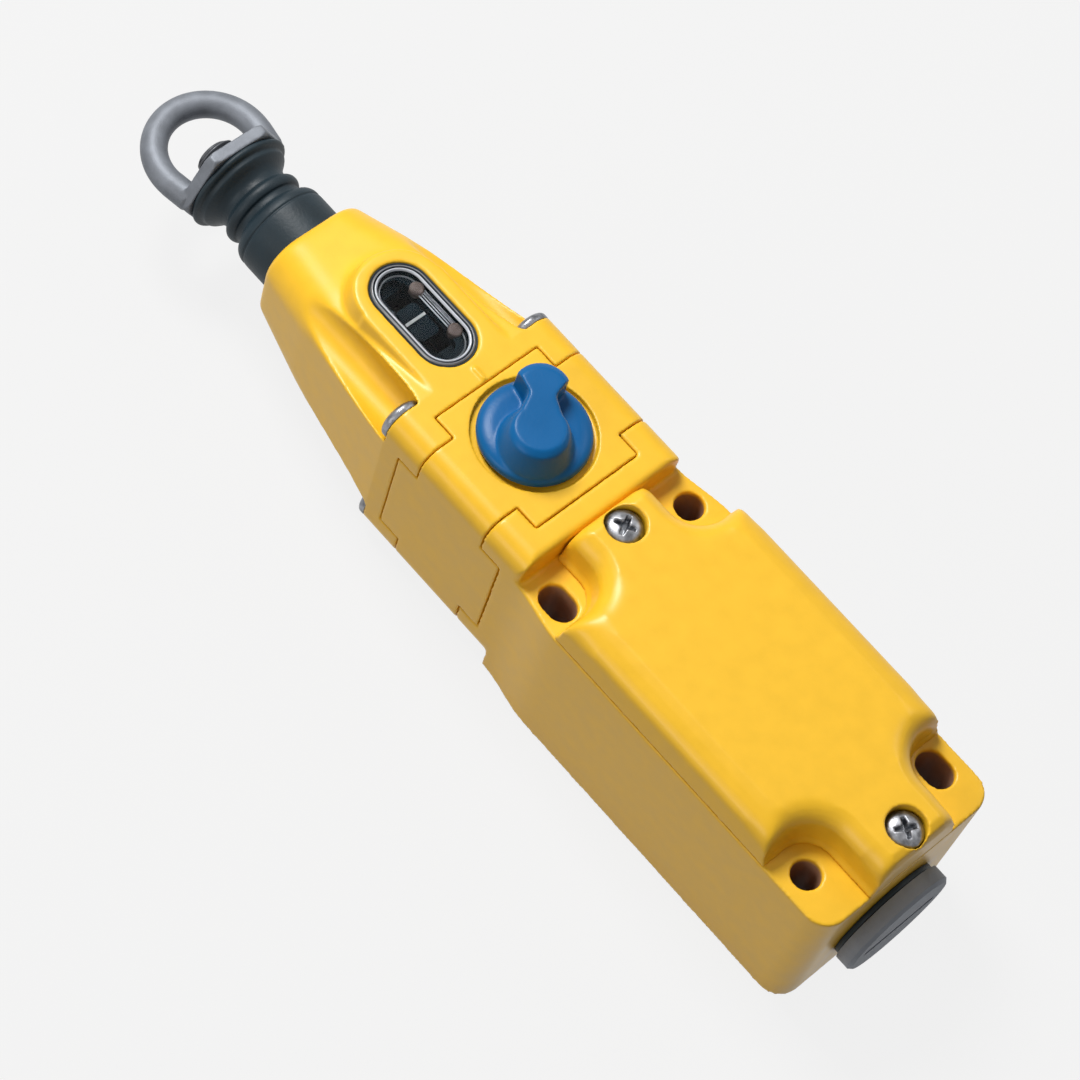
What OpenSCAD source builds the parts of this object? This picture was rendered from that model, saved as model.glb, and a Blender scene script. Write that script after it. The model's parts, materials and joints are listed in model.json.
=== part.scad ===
// Rope pull safety switch: die-cast housing with screwed cover, reset block with
// turning knob, tapered nose with tension window, rubber boot and eye nut.
// +X runs from the eye to the conduit end, +Z out of the cover, and the origin is
// the centre of the four mounting holes on the back face.

/* [Main housing] */
// Length of the housing body along X
case_len = 77; // [72:0.5:90]
// Width of the housing body
case_w = 40; // [38:0.5:46]
// Depth of the housing from the back face to the mounting flange
case_h = 32; // [30:0.5:38]
// Wall at the sides of the wiring space
case_wall = 2.8; // [2.2:0.1:3.4]
// Floor under the wiring space
case_floor = 2.6; // [2:0.1:4]
// Radius of the vertical corners at the conduit end
case_corner_r = 4.5; // [2:0.5:6]
// Distance from the mounting centre to the conduit end
end_x = 39.5; // [38.5:0.5:44]
// Length of the solid block behind the conduit end
end_block = 17.5; // [15:0.5:19]
// Length of the solid block at the head end
head_block = 15.5; // [14:0.5:17]

/* [Mounting holes] */
// Hole spacing along X
pitch_x = 60; // [58:0.5:62]
// Hole spacing along Y
pitch_y = 30; // [29:0.5:32]
// Diameter of the round holes and width of the slots
hole_d = 5.3; // [4.2:0.1:5.6]
// End-to-end length of the slots
slot_len = 7.3; // [6:0.1:8.5]

/* [Cover] */
// Height of the cover plateau above the mounting flange
cover_h = 8; // [7.4:0.1:10]
// Height of the upright rim of the cover
cover_rim_h = 4.4; // [3:0.1:4.8]
// Width of the sloping shoulder round the plateau
cover_shoulder = 4.6; // [3:0.1:5.5]
// Thickness of the cover over the wiring space
cover_wall = 2.6; // [2:0.1:3]
// Radius of the scallops that clear the mounting screws
scallop_r = 6.3; // [5:0.1:6.8]
// How far the scallop walls run in at their foot
scallop_foot = 1.1; // [0.4:0.1:1.6]
// Extra radius of the scallops at the plateau
scallop_flare = 3.1; // [2:0.1:3.6]
// Outward shift of the scallops at the slotted holes
scallop_shift = 1; // [0:0.1:1.5]
// Distance of the front cover screw from the head end of the body
cover_screw_head_in = 5.5; // [5:0.1:7.5]
// Distance of the rear cover screw from the conduit end of the body
cover_screw_end_in = 4.3; // [4.1:0.1:6.5]
// Section of the gasket cord
gasket_w = 1.2; // [0.8:0.1:1.3]

/* [Screws] */
// Thread diameter of the cover screws
cover_screw_d = 4; // [3:0.5:4]
// Head diameter of the cover screws
cover_head_d = 6.8; // [6:0.1:7]
// Thread length of the cover screws below the head
cover_screw_len = 9.5; // [8:0.5:11]
// Thread diameter of the long head screws
head_screw_d = 4; // [3:0.5:4]
// Head diameter of the long head screws
head_screw_head_d = 7.8; // [7:0.1:8.4]
// Head height of the long head screws
head_screw_head_h = 2.1; // [1.8:0.1:3.5]
// Length of the long head screws below the head
head_screw_len = 31; // [28:0.5:32]

/* [Head section] */
// Width of the head section
head_w = 36.6; // [35.5:0.1:38]
// Depth of the head section
head_h = 35.4; // [34.4:0.1:36.4]
// Height of the rod axis above the back face
axis_z = 20; // [19.5:0.1:20.6]
// Radius of the long edges of the head section
head_edge_r = 4; // [2:0.5:5]
// Length of the head stub cast on the housing
stub_len = 3.4; // [3:0.1:4.5]
// Length of the reset block between its two seams
block_len = 25.4; // [25.4:0.1:27]
// Depth of the corner keys at each seam
key_depth = 4.7; // [3.5:0.1:5]
// Half distance between the keys across the front face
key_half_y = 11.5; // [11:0.1:11.8]
// Half distance between the keys across the side faces
key_half_z = 10.9; // [10.4:0.1:11.2]
// Visible joint between two castings
seam = 0.2; // [0.2:0.05:0.4]
// Distance of the long screws from the rod axis along Y
screw_y = 14.4; // [14.2:0.1:14.6]
// Distance of the long screws from the rod axis along Z
screw_z = 13.8; // [13.6:0.1:14]

/* [Nose] */
// Thickness of the screw flange of the nose
nose_flange = 3.7; // [3:0.1:4.5]
// Length of the nose in front of its screw flange
nose_len = 39.4; // [38.8:0.1:44]
// Half width of the nose just behind its rounded tip
nose_tip_half = 11; // [10.8:0.1:12.5]
// Corner radius of the nose at its tip
nose_tip_corner = 7; // [5:0.1:9]
// Outward belly of the nose between its flange and its tip
nose_belly = 0.35; // [0:0.05:0.8]
// Length of the rounding at the tip
tip_round = 1.8; // [1:0.1:2.4]
// Radius of the screwdriver channels along the nose corners
channel_r = 4.5; // [4.3:0.1:4.8]
// Half width of the window plateau at its top
plateau_half = 8.6; // [8:0.1:9]
// Radius of the spring chamber
chamber_r = 8; // [7.6:0.1:8.4]

/* [Window] */
// Distance between the two end centres of the window
window_pitch = 11.2; // [9:0.1:12]
// Radius of the window ends, seal included
window_r = 5.6; // [5.2:0.1:6]
// Distance from the screw flange to the middle of the window
window_back = 12.4; // [12:0.1:13]
// Width of the rubber seal round the lens
seal_w = 0.6; // [0.4:0.05:0.9]
// Thickness of the lens
lens_t = 1.5; // [1:0.1:1.8]

/* [Pull rod and eye] */
// Diameter of the pull rod and its thread
rod_d = 8; // [7:0.1:8.4]
// How far the rod pulls out from the tensioned position
pull_out = 5; // [4:0.5:6]
// How far the rod moves in when the rope goes slack
slack_in = 4; // [2:0.5:4]
// Running clearance of the rod in its bushes
run_clear = 0.05; // [0.02:0.01:0.09]
// Radius of the eye's bend, to the middle of its wire
eye_bend_r = 9.85; // [9:0.05:12]
// Wire diameter of the eye
eye_wire_d = 4.9; // [4:0.1:5.6]
// Length of the eye's straight legs
eye_leg = 4.8; // [4:0.1:8]
// Width of the eye nut over its corners
eye_hex_d = 23; // [20.6:0.1:24]
// Inward lean of the eye's legs
eye_lean = 9.5; // [1:0.5:12]
// Thickness of the eye nut's flange
eye_hex_t = 2.4; // [2:0.1:4]
// Length of rod thread that stands inside the eye
stud_out = 4.2; // [2:0.1:5]

/* [Boot] */
// Diameter of the boot's lower cylinder
boot_d = 17.7; // [17:0.1:18.2]
// Diameter of the boot's top flange
boot_top_d = 20.4; // [19:0.1:21]
// Visible length of the boot
boot_len = 19.1; // [18:0.1:23]
// Depth of the boot's seat in the nose
boot_seat = 3.2; // [2:0.1:3.6]

/* [Reset knob] */
// Diameter of the knob disc
knob_d = 19.8; // [18:0.1:20.4]
// Thickness of the knob disc
knob_disc_h = 2.8; // [2.4:0.1:4]
// Height of the grip above the disc
grip_h = 4.8; // [4:0.1:6]
// Reach of the grip from the knob axis
grip_reach = 10.2; // [9:0.1:11]
// Distance of the knob axis from the front seam of the reset block
knob_back = 12.15; // [12.15:0.05:12.5]
// Diameter of the knob shaft
shaft_d = 8; // [7:0.1:8.2]
// Angle that the knob turns
knob_turn = 90; // [60:5:90]
// Direction that the grip points at rest, from +X
knob_rest_angle = 135; // [90:5:180]
// Offset of the drive pin under the shaft
crank_r = 2.2; // [1.8:0.1:2.4]

/* [Conduit plug] */
// Diameter of the conduit thread
conduit_d = 18.4; // [16:0.1:19]
// Height of the conduit entry above the back face
conduit_z = 13.5; // [13.2:0.1:14.5]
// Diameter of the plug head
plug_head_d = 22.2; // [21:0.1:25.5]
// Thickness of the plug head
plug_head_h = 3.2; // [2:0.1:4]
// Reach of the plug's thread into the housing
plug_reach = 8.5; // [6:0.1:9]
// Wall of the plug's hollow thread
plug_wall = 2; // [1.5:0.1:3]
// Width of the coin slot in the plug head
coin_w = 1.8; // [1.4:0.1:2.4]
// Depth of the coin slot
coin_depth = 1.4; // [1:0.1:1.8]
// Width of the washer's ring
washer_w = 1.25; // [1:0.05:1.3]
// Thickness of the washer
washer_t = 1; // [0.8:0.1:1.5]

/* [Contacts] */
// Spacing of the four contact pairs
pole_pitch = 7; // [6.4:0.1:7.2]
// Height of the terminal rails above the back face
rail_top = 24; // [23.8:0.1:24.6]
// Height of the carriage track above the back face
track_z = 13; // [12:0.1:13.2]

/* [Hidden] */
$fn = 64;

// clearances: between parts that stay together, and between parts that move
fit = 0.05;
gap = 0.3;

yellow = [0.96, 0.76, 0.18];
knob_blue = [0.04, 0.40, 0.67];
rubber_black = [0.10, 0.11, 0.12];
steel = [0.62, 0.64, 0.66];
zinc = [0.75, 0.76, 0.78];
brass = [0.80, 0.66, 0.32];
moulding = [0.20, 0.21, 0.23];
plug_grey = [0.36, 0.38, 0.42];

// stations along X, from the conduit end to the eye
head_x = end_x - case_len;
stub_x = head_x - stub_len;
block_x = stub_x - block_len;
flange_x = block_x - nose_flange;
tip_x = flange_x - nose_len;
stub_rear_x = head_x + 1.1;
hole_room = 8;
cavity_x0 = max(head_x + head_block, hole_room - pitch_x / 2);
cavity_x1 = min(end_x - end_block, pitch_x / 2 - hole_room);
head_back_z = axis_z - head_h / 2;
head_front_z = axis_z + head_h / 2;
plateau_z = case_h + cover_h;
rim_z = case_h + cover_rim_h;
cover_x0 = stub_rear_x + gap;

// widening of the body behind the head
flare_len = 13;
flare_steps = 8;

// mounting holes
hole_r = hole_d / 2;
round_holes = [[-pitch_x / 2, pitch_y / 2], [pitch_x / 2, -pitch_y / 2]];
slot_holes = [[-pitch_x / 2, -pitch_y / 2], [pitch_x / 2, pitch_y / 2]];

// gasket groove round the wiring space
groove_in = 0.7;
groove_depth = 1.2;
cavity_r = 3;

// slope of the cover where its rolled sides meet the plateau
crease_angle = 55;

// cover screws
cover_screw_xs = [head_x + cover_screw_head_in, end_x - cover_screw_end_in];
cover_seat_z = plateau_z - 3;
cover_recess_r = cover_head_d / 2 + 0.2;
cover_head_h = 2.4;

// long head screws
screw_hole_r = head_screw_d / 2 + 0.15;
screw_axes = [for (sy = [-1, 1], sz = [-1, 1]) [sy * screw_y, axis_z + sz * screw_z]];

// window
window_x = flange_x - window_back;
lens_top_z = head_front_z - 0.15;
lens_z = lens_top_z - lens_t;
pocket_z = head_front_z - 4.6;
frame_r = window_r - fit;
lens_r = window_r - seal_w - 2 * fit;
view_r = lens_r - 0.9;
slider_half = 2.2;
slider_y = -0.9;
slider_t = 1.2;
slider_z = lens_z - 0.25 - slider_t;
slider_len = 7;
rail_y = 2.75;
rail_pitch = 9.4;
rail_shelf_r = 1;
rail_shelf_depth = 0.9;
track_corner_r = 1.5;
arm_half = 1.8;
arm_slot_half = arm_half + gap;
arm_x0 = window_x - 1.5;
arm_len = 3;
arm_slot_x0 = arm_x0 - pull_out - 2 * gap;
arm_slot_x1 = arm_x0 + arm_len + slack_in + 2 * gap;

// rod line
rod_r = rod_d / 2;
rod_bore_r = rod_r + run_clear;
bush_r = rod_r + 2;
seat_x = tip_x + boot_seat;
bush_len = 5.6;
seat_t = 1;
chamber_x = seat_x + bush_len;
spring_x0 = chamber_x + seat_t + fit;
collar_t = 3;
collar_x = flange_x - 2 - collar_t;
collar_r = chamber_r - 0.5;
clip_t = 0.9;
clip_x = collar_x + collar_t;
clip_groove_r = rod_r - 0.55;
spring_wire_r = 0.9;
spring_r = rod_r + 0.25 + 2 * spring_wire_r;
spring_turns = 8;
rod_end_x = stub_x + 2.4;
rear_bush_x = stub_x - 7.1;
rear_bush_len = 5;
boot_top_x = tip_x - boot_len;
boot_room = 1.5;
boot_waist_r = 6.8;
boot_flare_x = 5.3;
boot_flare_h = 2.6;
boot_bead_x = 7.25;
boot_bead_w = 1.15;
boot_bead_h = 0.9;
boot_shoulder_x = 11.3;
hex_x = boot_top_x - fit - eye_hex_t;
eye_x = hex_x - eye_leg;
rod_tip_x = hex_x - stud_out;

// knob, shaft and latch
knob_x = block_x + knob_back;
seat_depth = 1.1;
knob_z = head_front_z - seat_depth + 0.25;
knob_top_z = knob_z + knob_disc_h;
knob_rim_h = knob_disc_h * 0.45;
knob_dome = 3.4;
grip_body_x = -2.9;
grip_body_r = 5.1;
grip_foot_r = 6.6;
shaft_r = shaft_d / 2;
latch_roof_z = axis_z + 10;
shaft_foot_z = latch_roof_z - 2.4;
latch_z = axis_z + 5;
latch_t = 1.6;
latch_half = 5.5;
crank_pin_r = 1.2;
crank_rest = -knob_turn / 2;
latch_travel = 2 * crank_r * sin(knob_turn / 2);
latch_chamber_half = 10.5;
latch_chamber_x1 = rear_bush_x - 1;
latch_chamber_z0 = latch_z - gap;
plate_t = 1.5;
plate_x = block_x + seam / 2 + fit;
tooth_half = 2;
tooth_t = 2;
tooth_back = 5.3;
tooth_x = knob_x - tooth_back;
neck_r = rod_r - 1.4;
neck_x0 = tooth_x - slack_in - 0.5;
neck_x1 = tooth_x + tooth_t + pull_out + 0.5;

// conduit plug
plug_chamfer = 0.6;
coin_inset = 3;

// contact block
base_x0 = cavity_x0 + 5;
earth_x = cavity_x0 + 2.4;
base_x1 = cavity_x1 - 0.5;
base_half = case_w / 2 - case_wall - 1.7;
base_z = case_floor + fit;
carriage_half_len = 2 * pole_pitch;
carriage_wide = 7.6;
carriage_narrow = 6.4;
carriage_top = axis_z + 3.6;
rail_in = carriage_wide + gap;
tab_t = 0.8;
tab_x = 2;
bar_x = 1.2;
bar_z = axis_z + 1.2;
bar_t = 1.2;
bar_half = rail_in - tab_t - gap;
strip_w = 5;
terminal_y = rail_in + 3.8;
poles = [for (i = [-1.5:1:1.5]) i * pole_pitch];
open_pole = 3;
open_shift = 2.9;
return_z = track_z + 4;
return_bore_r = 2.6;
return_r = 2;
return_wire_r = 0.3;
return_depth = 8;
return_turns = 9;
pin_r = 3;
terminal_r = 1.6;
terminal_len = 7.5;
terminal_head_d = 5;
terminal_head_h = 1.8;
base_screw_r = 1.75;
base_head_d = 5.6;
base_head_h = 2;
screw_bite = 1.5;
screw_in = 3;
spring_wall_t = 2.2;

// ---------- shared shapes ----------

// rectangle with rounded corners, centred
module round_rect(l, w, r) {
    square([l - 2 * r, w], center = true);
    square([l, w - 2 * r], center = true);
    for (sx = [-1, 1], sy = [-1, 1])
        translate([sx * (l / 2 - r), sy * (w / 2 - r)])
            circle(r);
}

// obround along X: two end centres a pitch apart
module obround(pitch, r) {
    square([pitch, 2 * r], center = true);
    for (s = [-1, 1])
        translate([s * pitch / 2, 0])
            circle(r);
}

// cylinder along X from x0 to x1
module x_cyl(x0, x1, r, y = 0, z = axis_z) {
    translate([x0, y, z])
        rotate([0, 90, 0])
            cylinder(h = x1 - x0, r = r);
}

// box from its two corners
module box(a, b) {
    translate(a)
        cube(b - a);
}

// YZ profile drawn as [y, z], extruded along X
module x_extrude(x0, x1) {
    translate([x0, 0, 0])
        rotate([90, 0, 90])
            linear_extrude(x1 - x0)
                children();
}

// XZ profile drawn as [x, z], extruded along Y
module y_extrude(y0, y1) {
    translate([0, y1, 0])
        rotate([90, 0, 0])
            linear_extrude(y1 - y0)
                children();
}

// rounded section of the head, cut from x0 to x1
module head_section(x0, x1) {
    x_extrude(x0, x1)
        translate([0, axis_z])
            round_rect(head_w, head_h, head_edge_r);
}

// thin slice of the head at x: a square with rounded corners, half as wide as given
module head_slice(x, half_y, half_z, r) {
    x_extrude(x, x + 0.05)
        translate([0, axis_z])
            round_rect(2 * half_y, 2 * half_z, r, $fn = 32);
}

// the four corner keys of a seam, grown by c where they sit in the other casting
module corner_keys(x0, x1, c) {
    for (sy = [-1, 1], sz = [-1, 1]) {
        y0 = sy > 0 ? key_half_y - c : -head_w;
        z0 = sz > 0 ? axis_z + key_half_z - c : axis_z - head_h;
        box([x0, y0, z0], [x1, y0 + head_w - key_half_y + c, z0 + head_h - key_half_z + c]);
    }
}

// helical spring along X as one swept tube, with closed end faces
module coil(x0, x1, r, wire, turns, steps = 14, sides = 6) {
    n = turns * steps;
    rings = [for (i = [0:n], j = [0:sides - 1])
        let (a = 360 * i / steps, b = 360 * j / sides, q = r + wire * cos(b))
        [x0 + wire + (x1 - x0 - 2 * wire) * i / n + wire * sin(b), q * cos(a), q * sin(a)]];
    skin = [for (i = [0:n - 1], j = [0:sides - 1])
        let (k = (j + 1) % sides)
        [i * sides + j, i * sides + k, (i + 1) * sides + k, (i + 1) * sides + j]];
    first = [[for (j = [sides - 1:-1:0]) j]];
    last = [[for (j = [0:sides - 1]) n * sides + j]];
    polyhedron(points = rings, faces = concat(skin, first, last));
}

// pan-head screw, head seat at z = 0 and shank downwards, with a cross recess
module pan_screw(d, len, head_d, head_h) {
    slot_w = head_d * 0.14;
    slot_l = head_d * 0.62;
    difference() {
        union() {
            translate([0, 0, -len])
                cylinder(h = len, r = d / 2);
            cylinder(h = head_h * 0.55, r = head_d / 2);
            translate([0, 0, head_h * 0.55])
                cylinder(h = head_h * 0.45, r1 = head_d / 2, r2 = head_d * 0.36);
        }
        for (a = [0, 90])
            rotate([0, 0, a])
                translate([-slot_l / 2, -slot_w / 2, head_h * 0.4])
                    cube([slot_l, slot_w, head_h]);
    }
}

// ---------- housing ----------

// one side of the housing where it widens from the head, on side s
function flare_side(s) = [for (i = [0:flare_steps])
    let (a = 180 * i / flare_steps, step = (case_w - head_w) / 2)
    [head_x + flare_len * i / flare_steps, s * (head_w / 2 + step * (1 - cos(a)) / 2)]];

// outline of the housing body: it widens from the head and rounds at the far end
module case_outline() {
    half = case_w / 2;
    upper = flare_side(1);
    polygon(concat(
        flare_side(-1),
        [[end_x - case_corner_r, -half], [end_x - case_corner_r, half]],
        [for (i = [len(upper) - 1:-1:0]) upper[i]]));
    translate([end_x - case_corner_r - 1, 0])
        square([2 * case_corner_r + 2, case_w - 2 * case_corner_r], center = true);
    translate([end_x - case_corner_r, 0])
        for (s = [-1, 1])
            translate([0, s * (half - case_corner_r)])
                circle(case_corner_r);
}

// outline of the wiring space, grown by g
module cavity_outline(g) {
    translate([(cavity_x0 + cavity_x1) / 2, 0])
        round_rect(cavity_x1 - cavity_x0 + 2 * g, case_w - 2 * case_wall + 2 * g, cavity_r + g);
}

// a quarter arc of radius r at the corner [x, q], as [distance along X, height] points
function corner_arc(x, q, r) = concat(
    [for (a = [0:25:75]) [x - r + r * cos(a), q - r + r * sin(a)]],
    [[x - r, q + fit], [x - r - 1, q + 1]]);

// rear end of the head stub, its edges rounded where it stands above the cover joint
module stub_end() {
    edge = stub_rear_x - head_x;
    side = corner_arc(stub_rear_x, head_w / 2, edge);
    intersection() {
        head_section(head_x, stub_rear_x);
        y_extrude(-head_w, head_w)
            polygon(concat([[head_x - 1, 0], [stub_rear_x, 0]], corner_arc(stub_rear_x, head_front_z, edge)));
        linear_extrude(2 * head_h)
            polygon(concat([for (i = [len(side) - 1:-1:0]) [side[i][0], -side[i][1]]], side));
    }
}

module main_housing() {
    color(yellow)
        difference() {
            union() {
                linear_extrude(case_h)
                    case_outline();
                head_section(stub_x - key_depth, head_x + 0.01);
                stub_end();
            }
            // seam face with its four keys left standing
            difference() {
                box([stub_x - key_depth - 1, -head_w, 0], [stub_x + seam / 2, head_w, head_h * 2]);
                corner_keys(stub_x - key_depth + seam / 2, stub_x + 1, -seam / 2);
            }
            // wiring space and gasket groove
            translate([0, 0, case_floor])
                linear_extrude(case_h)
                    cavity_outline(0);
            translate([0, 0, case_h - groove_depth])
                linear_extrude(case_h)
                    difference() {
                        cavity_outline(groove_in + gasket_w);
                        cavity_outline(groove_in);
                    }
            // mounting holes and slots
            for (p = round_holes)
                translate([p[0], p[1], -1])
                    cylinder(h = case_h + 2, r = hole_r);
            for (p = slot_holes)
                translate([p[0], p[1], -1])
                    linear_extrude(case_h + 2)
                        obround(slot_len - hole_d, hole_r);
            // cover screw threads
            for (x = cover_screw_xs)
                translate([x, 0, cover_seat_z - cover_screw_len - 0.6])
                    cylinder(h = cover_screw_len, r = cover_screw_d / 2 + fit);
            // long head screws
            for (a = screw_axes)
                x_cyl(stub_x - key_depth - 1, flange_x + head_screw_len + 1, head_screw_d / 2 + fit,
                      a[0], a[1]);
            // rod recess, drive pin guide, conduit entry
            x_cyl(stub_x - 1, head_x + 4, rod_r + 1);
            x_cyl(stub_x, cavity_x0 + 1, pin_r + run_clear);
            x_cyl(cavity_x1 - 1, end_x + 1, conduit_d / 2 + fit, 0, conduit_z);
            // threads for the contact block and the earth terminal
            for (s = [-1, 1])
                translate([base_x1 - screw_in, s * (base_half - screw_in), case_floor - 1.8])
                    cylinder(h = 4, r = base_screw_r + fit);
            translate([earth_x, base_half - screw_in, case_floor - 1.8])
                cylinder(h = 4, r = base_screw_r + fit);
        }
}

// ---------- cover ----------

// wall of a scallop as [distance from the screw, height]: it runs in at the foot and
// rolls over to the plateau
function scallop_wall() = concat(
    [[scallop_r - scallop_foot, case_h - 1], [scallop_r - scallop_foot, case_h + 0.3],
     [scallop_r - scallop_foot * 0.4, case_h + cover_rim_h * 0.35]],
    [for (a = [0:crease_angle / 5:crease_angle])
        [scallop_r + scallop_flare * (1 - cos(a)) / (1 - cos(crease_angle)),
         rim_z + (plateau_z + 0.02 - rim_z) * sin(a) / sin(crease_angle)]]);

// room round one mounting screw at [x, y], open towards the nearest corner
module scallop(x, y) {
    far = case_len;
    top = plateau_z + 1;
    wall = scallop_wall();
    last = wall[len(wall) - 1][0];
    side = concat([for (p = wall) [-p[0], p[1]]], [[-last, top], [far, top], [far, case_h - 1]]);
    translate([x, y, 0])
        mirror([x < 0 ? 1 : 0, 0, 0])
            mirror([0, y < 0 ? 1 : 0, 0]) {
                rotate_extrude()
                    polygon(concat([[0, case_h - 1]], wall, [[last, top], [0, top]]));
                x_extrude(0, far)
                    polygon(side);
                y_extrude(0, far)
                    polygon(side);
            }
}

// shoulder from the rim to the crease at the plateau, as n short flats of an arc
function shoulder(n) = [for (i = [0:n]) let (a = crease_angle * i / n)
    [cover_shoulder * (1 - cos(a)) / (1 - cos(crease_angle)),
     (plateau_z - rim_z) * sin(a) / sin(crease_angle)]];

module cover() {
    half = case_w / 2 - 0.1;
    pts = shoulder(5);
    side = [for (p = pts) [half - 0.4 - p[0], rim_z + p[1]]];
    other = [for (i = [len(side) - 1:-1:0]) [-side[i][0], side[i][1]]];
    lip = 2.2;
    color(yellow)
        difference() {
            intersection() {
                x_extrude(cover_x0, end_x - fit)
                    polygon(concat([[-half, case_h + fit], [half, case_h + fit]], side, other));
                y_extrude(-case_w, case_w)
                    polygon([
                        [cover_x0, case_h], [end_x, case_h], [end_x - 0.3, plateau_z - lip],
                        [end_x - 0.9, plateau_z - 0.7], [end_x - lip, plateau_z],
                        [cover_x0 + lip, plateau_z], [cover_x0 + 0.6, plateau_z - 0.8],
                        [cover_x0, plateau_z - lip]
                    ]);
                linear_extrude(2 * plateau_z)
                    case_outline();
            }
            for (p = round_holes)
                scallop(p[0], p[1]);
            for (p = slot_holes)
                scallop(p[0] + sign(p[0]) * scallop_shift, p[1]);
            // hollow over the wiring space
            translate([0, 0, case_h - 1])
                linear_extrude(plateau_z - cover_wall - case_h + 1)
                    cavity_outline(-1.6);
            // screw recesses
            for (x = cover_screw_xs) {
                translate([x, 0, cover_seat_z])
                    cylinder(h = plateau_z, r = cover_recess_r);
                translate([x, 0, case_h - 1])
                    cylinder(h = plateau_z, r = cover_screw_d / 2 + 0.15);
            }
        }
}

module cover_gasket() {
    color(rubber_black)
        translate([0, 0, case_h - groove_depth + fit])
            linear_extrude(groove_depth - fit)
                difference() {
                    cavity_outline(groove_in + gasket_w - fit);
                    cavity_outline(groove_in + fit);
                }
}

module cover_screws() {
    color(zinc)
        for (x = cover_screw_xs)
            translate([x, 0, cover_seat_z + fit])
                rotate([0, 0, 30])
                    pan_screw(cover_screw_d, cover_screw_len, cover_head_d, cover_head_h);
}

// ---------- reset block ----------

module reset_block() {
    color(yellow)
        difference() {
            head_section(block_x + seam / 2, stub_x - seam / 2);
            // corners that take the keys of the nose and of the housing
            corner_keys(block_x - 1, block_x + key_depth + seam / 2, seam / 2);
            corner_keys(stub_x - key_depth - seam / 2, stub_x + 1, seam / 2);
            for (a = screw_axes)
                x_cyl(block_x - 1, stub_x + 1, screw_hole_r, a[0], a[1]);
            // rod passage and rear bush
            x_cyl(block_x - 1, stub_x + 1, rod_r + 0.55);
            x_cyl(rear_bush_x, stub_x + 1, bush_r);
            // latch chamber, open towards the nose, with room for the tooth below it
            box([block_x - 1, -latch_chamber_half, latch_chamber_z0],
                [latch_chamber_x1, latch_chamber_half, latch_roof_z]);
            box([tooth_x - gap, -latch_travel / 2 - tooth_half - gap, axis_z + neck_r + 0.2],
                [tooth_x + tooth_t + gap, latch_travel / 2 + tooth_half + gap, latch_z]);
            // knob seat and shaft bore
            translate([knob_x, 0, head_front_z - seat_depth])
                cylinder(h = 2, r = knob_d / 2 + 1);
            translate([knob_x, 0, axis_z])
                cylinder(h = head_h, r = shaft_r + run_clear);
        }
}

module latch_plate() {
    color(steel)
        box([plate_x, -latch_chamber_half + fit, latch_chamber_z0 + fit],
            [plate_x + plate_t, latch_chamber_half - fit, latch_roof_z - fit]);
}

module latch_slide() {
    x0 = plate_x + plate_t + gap;
    x1 = latch_chamber_x1 - gap;
    mid = -latch_travel / 2;
    slot_x = knob_x + crank_r * (1 + cos(crank_rest)) / 2;
    color(steel) {
        difference() {
            box([x0, mid - latch_half, latch_z], [x1, mid + latch_half, latch_z + latch_t]);
            translate([slot_x, mid, latch_z - 1])
                linear_extrude(latch_t + 2)
                    obround(crank_r * (1 - cos(crank_rest)) + gap, crank_pin_r + 0.15);
        }
        // tooth that stands in the rod's neck
        box([tooth_x, mid - tooth_half, axis_z + neck_r + 0.5],
            [tooth_x + tooth_t, mid + tooth_half, latch_z + 0.01]);
    }
}

module rear_bush() {
    color(brass)
        difference() {
            x_cyl(rear_bush_x + fit, rear_bush_x + rear_bush_len, bush_r - 0.02);
            x_cyl(rear_bush_x - 1, rear_bush_x + rear_bush_len + 1, rod_bore_r);
        }
}

// ---------- knob ----------

// outline of the grip: round body, waist and a fan-shaped lobe, pointing along +X
module grip_outline() {
    lobe_r = 5;
    translate([grip_body_x, 0])
        circle(grip_body_r);
    polygon([[-2, -4.6], [3.9, -2.5], [4.6, -2.6], [grip_reach - 2.7, -4.3],
             [grip_reach - 2.7, 4.3], [4.6, 2.6], [3.9, 2.5], [-2, 4.6]]);
    intersection() {
        translate([grip_reach - lobe_r, 0])
            circle(lobe_r);
        translate([grip_reach - 2.75, -lobe_r])
            square([lobe_r, 2 * lobe_r]);
    }
}

module reset_knob() {
    r = knob_d / 2;
    color(knob_blue)
        translate([knob_x, 0, knob_z])
            difference() {
                union() {
                    // disc with a low rim and a domed top
                    rotate_extrude()
                        polygon(concat(
                            [[0, 0], [r - 0.4, 0], [r, 0.4]],
                            [for (a = [0:15:75])
                                [r - knob_dome * (1 - cos(a)),
                                 knob_rim_h + (knob_disc_h - knob_rim_h) * sin(a)]],
                            [[0, knob_disc_h]]));
                    rotate([0, 0, knob_rest_angle])
                        translate([0, 0, knob_disc_h - 0.4]) {
                            // flank of the round body, running out onto the disc
                            translate([grip_body_x, 0, 0])
                                cylinder(h = grip_h - 0.4, r1 = grip_foot_r, r2 = grip_body_r);
                            linear_extrude(grip_h - 0.4)
                                grip_outline();
                            translate([0, 0, grip_h - 0.4])
                                linear_extrude(0.8, scale = 0.86)
                                    grip_outline();
                        }
                }
                // square socket for the shaft
                translate([0, 0, -1])
                    rotate([0, 0, knob_rest_angle])
                        translate([-shaft_r * 0.65 - fit, -shaft_r * 0.65 - fit, 0])
                            cube([shaft_r * 1.3 + 2 * fit, shaft_r * 1.3 + 2 * fit, knob_disc_h + 2]);
            }
}

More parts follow.
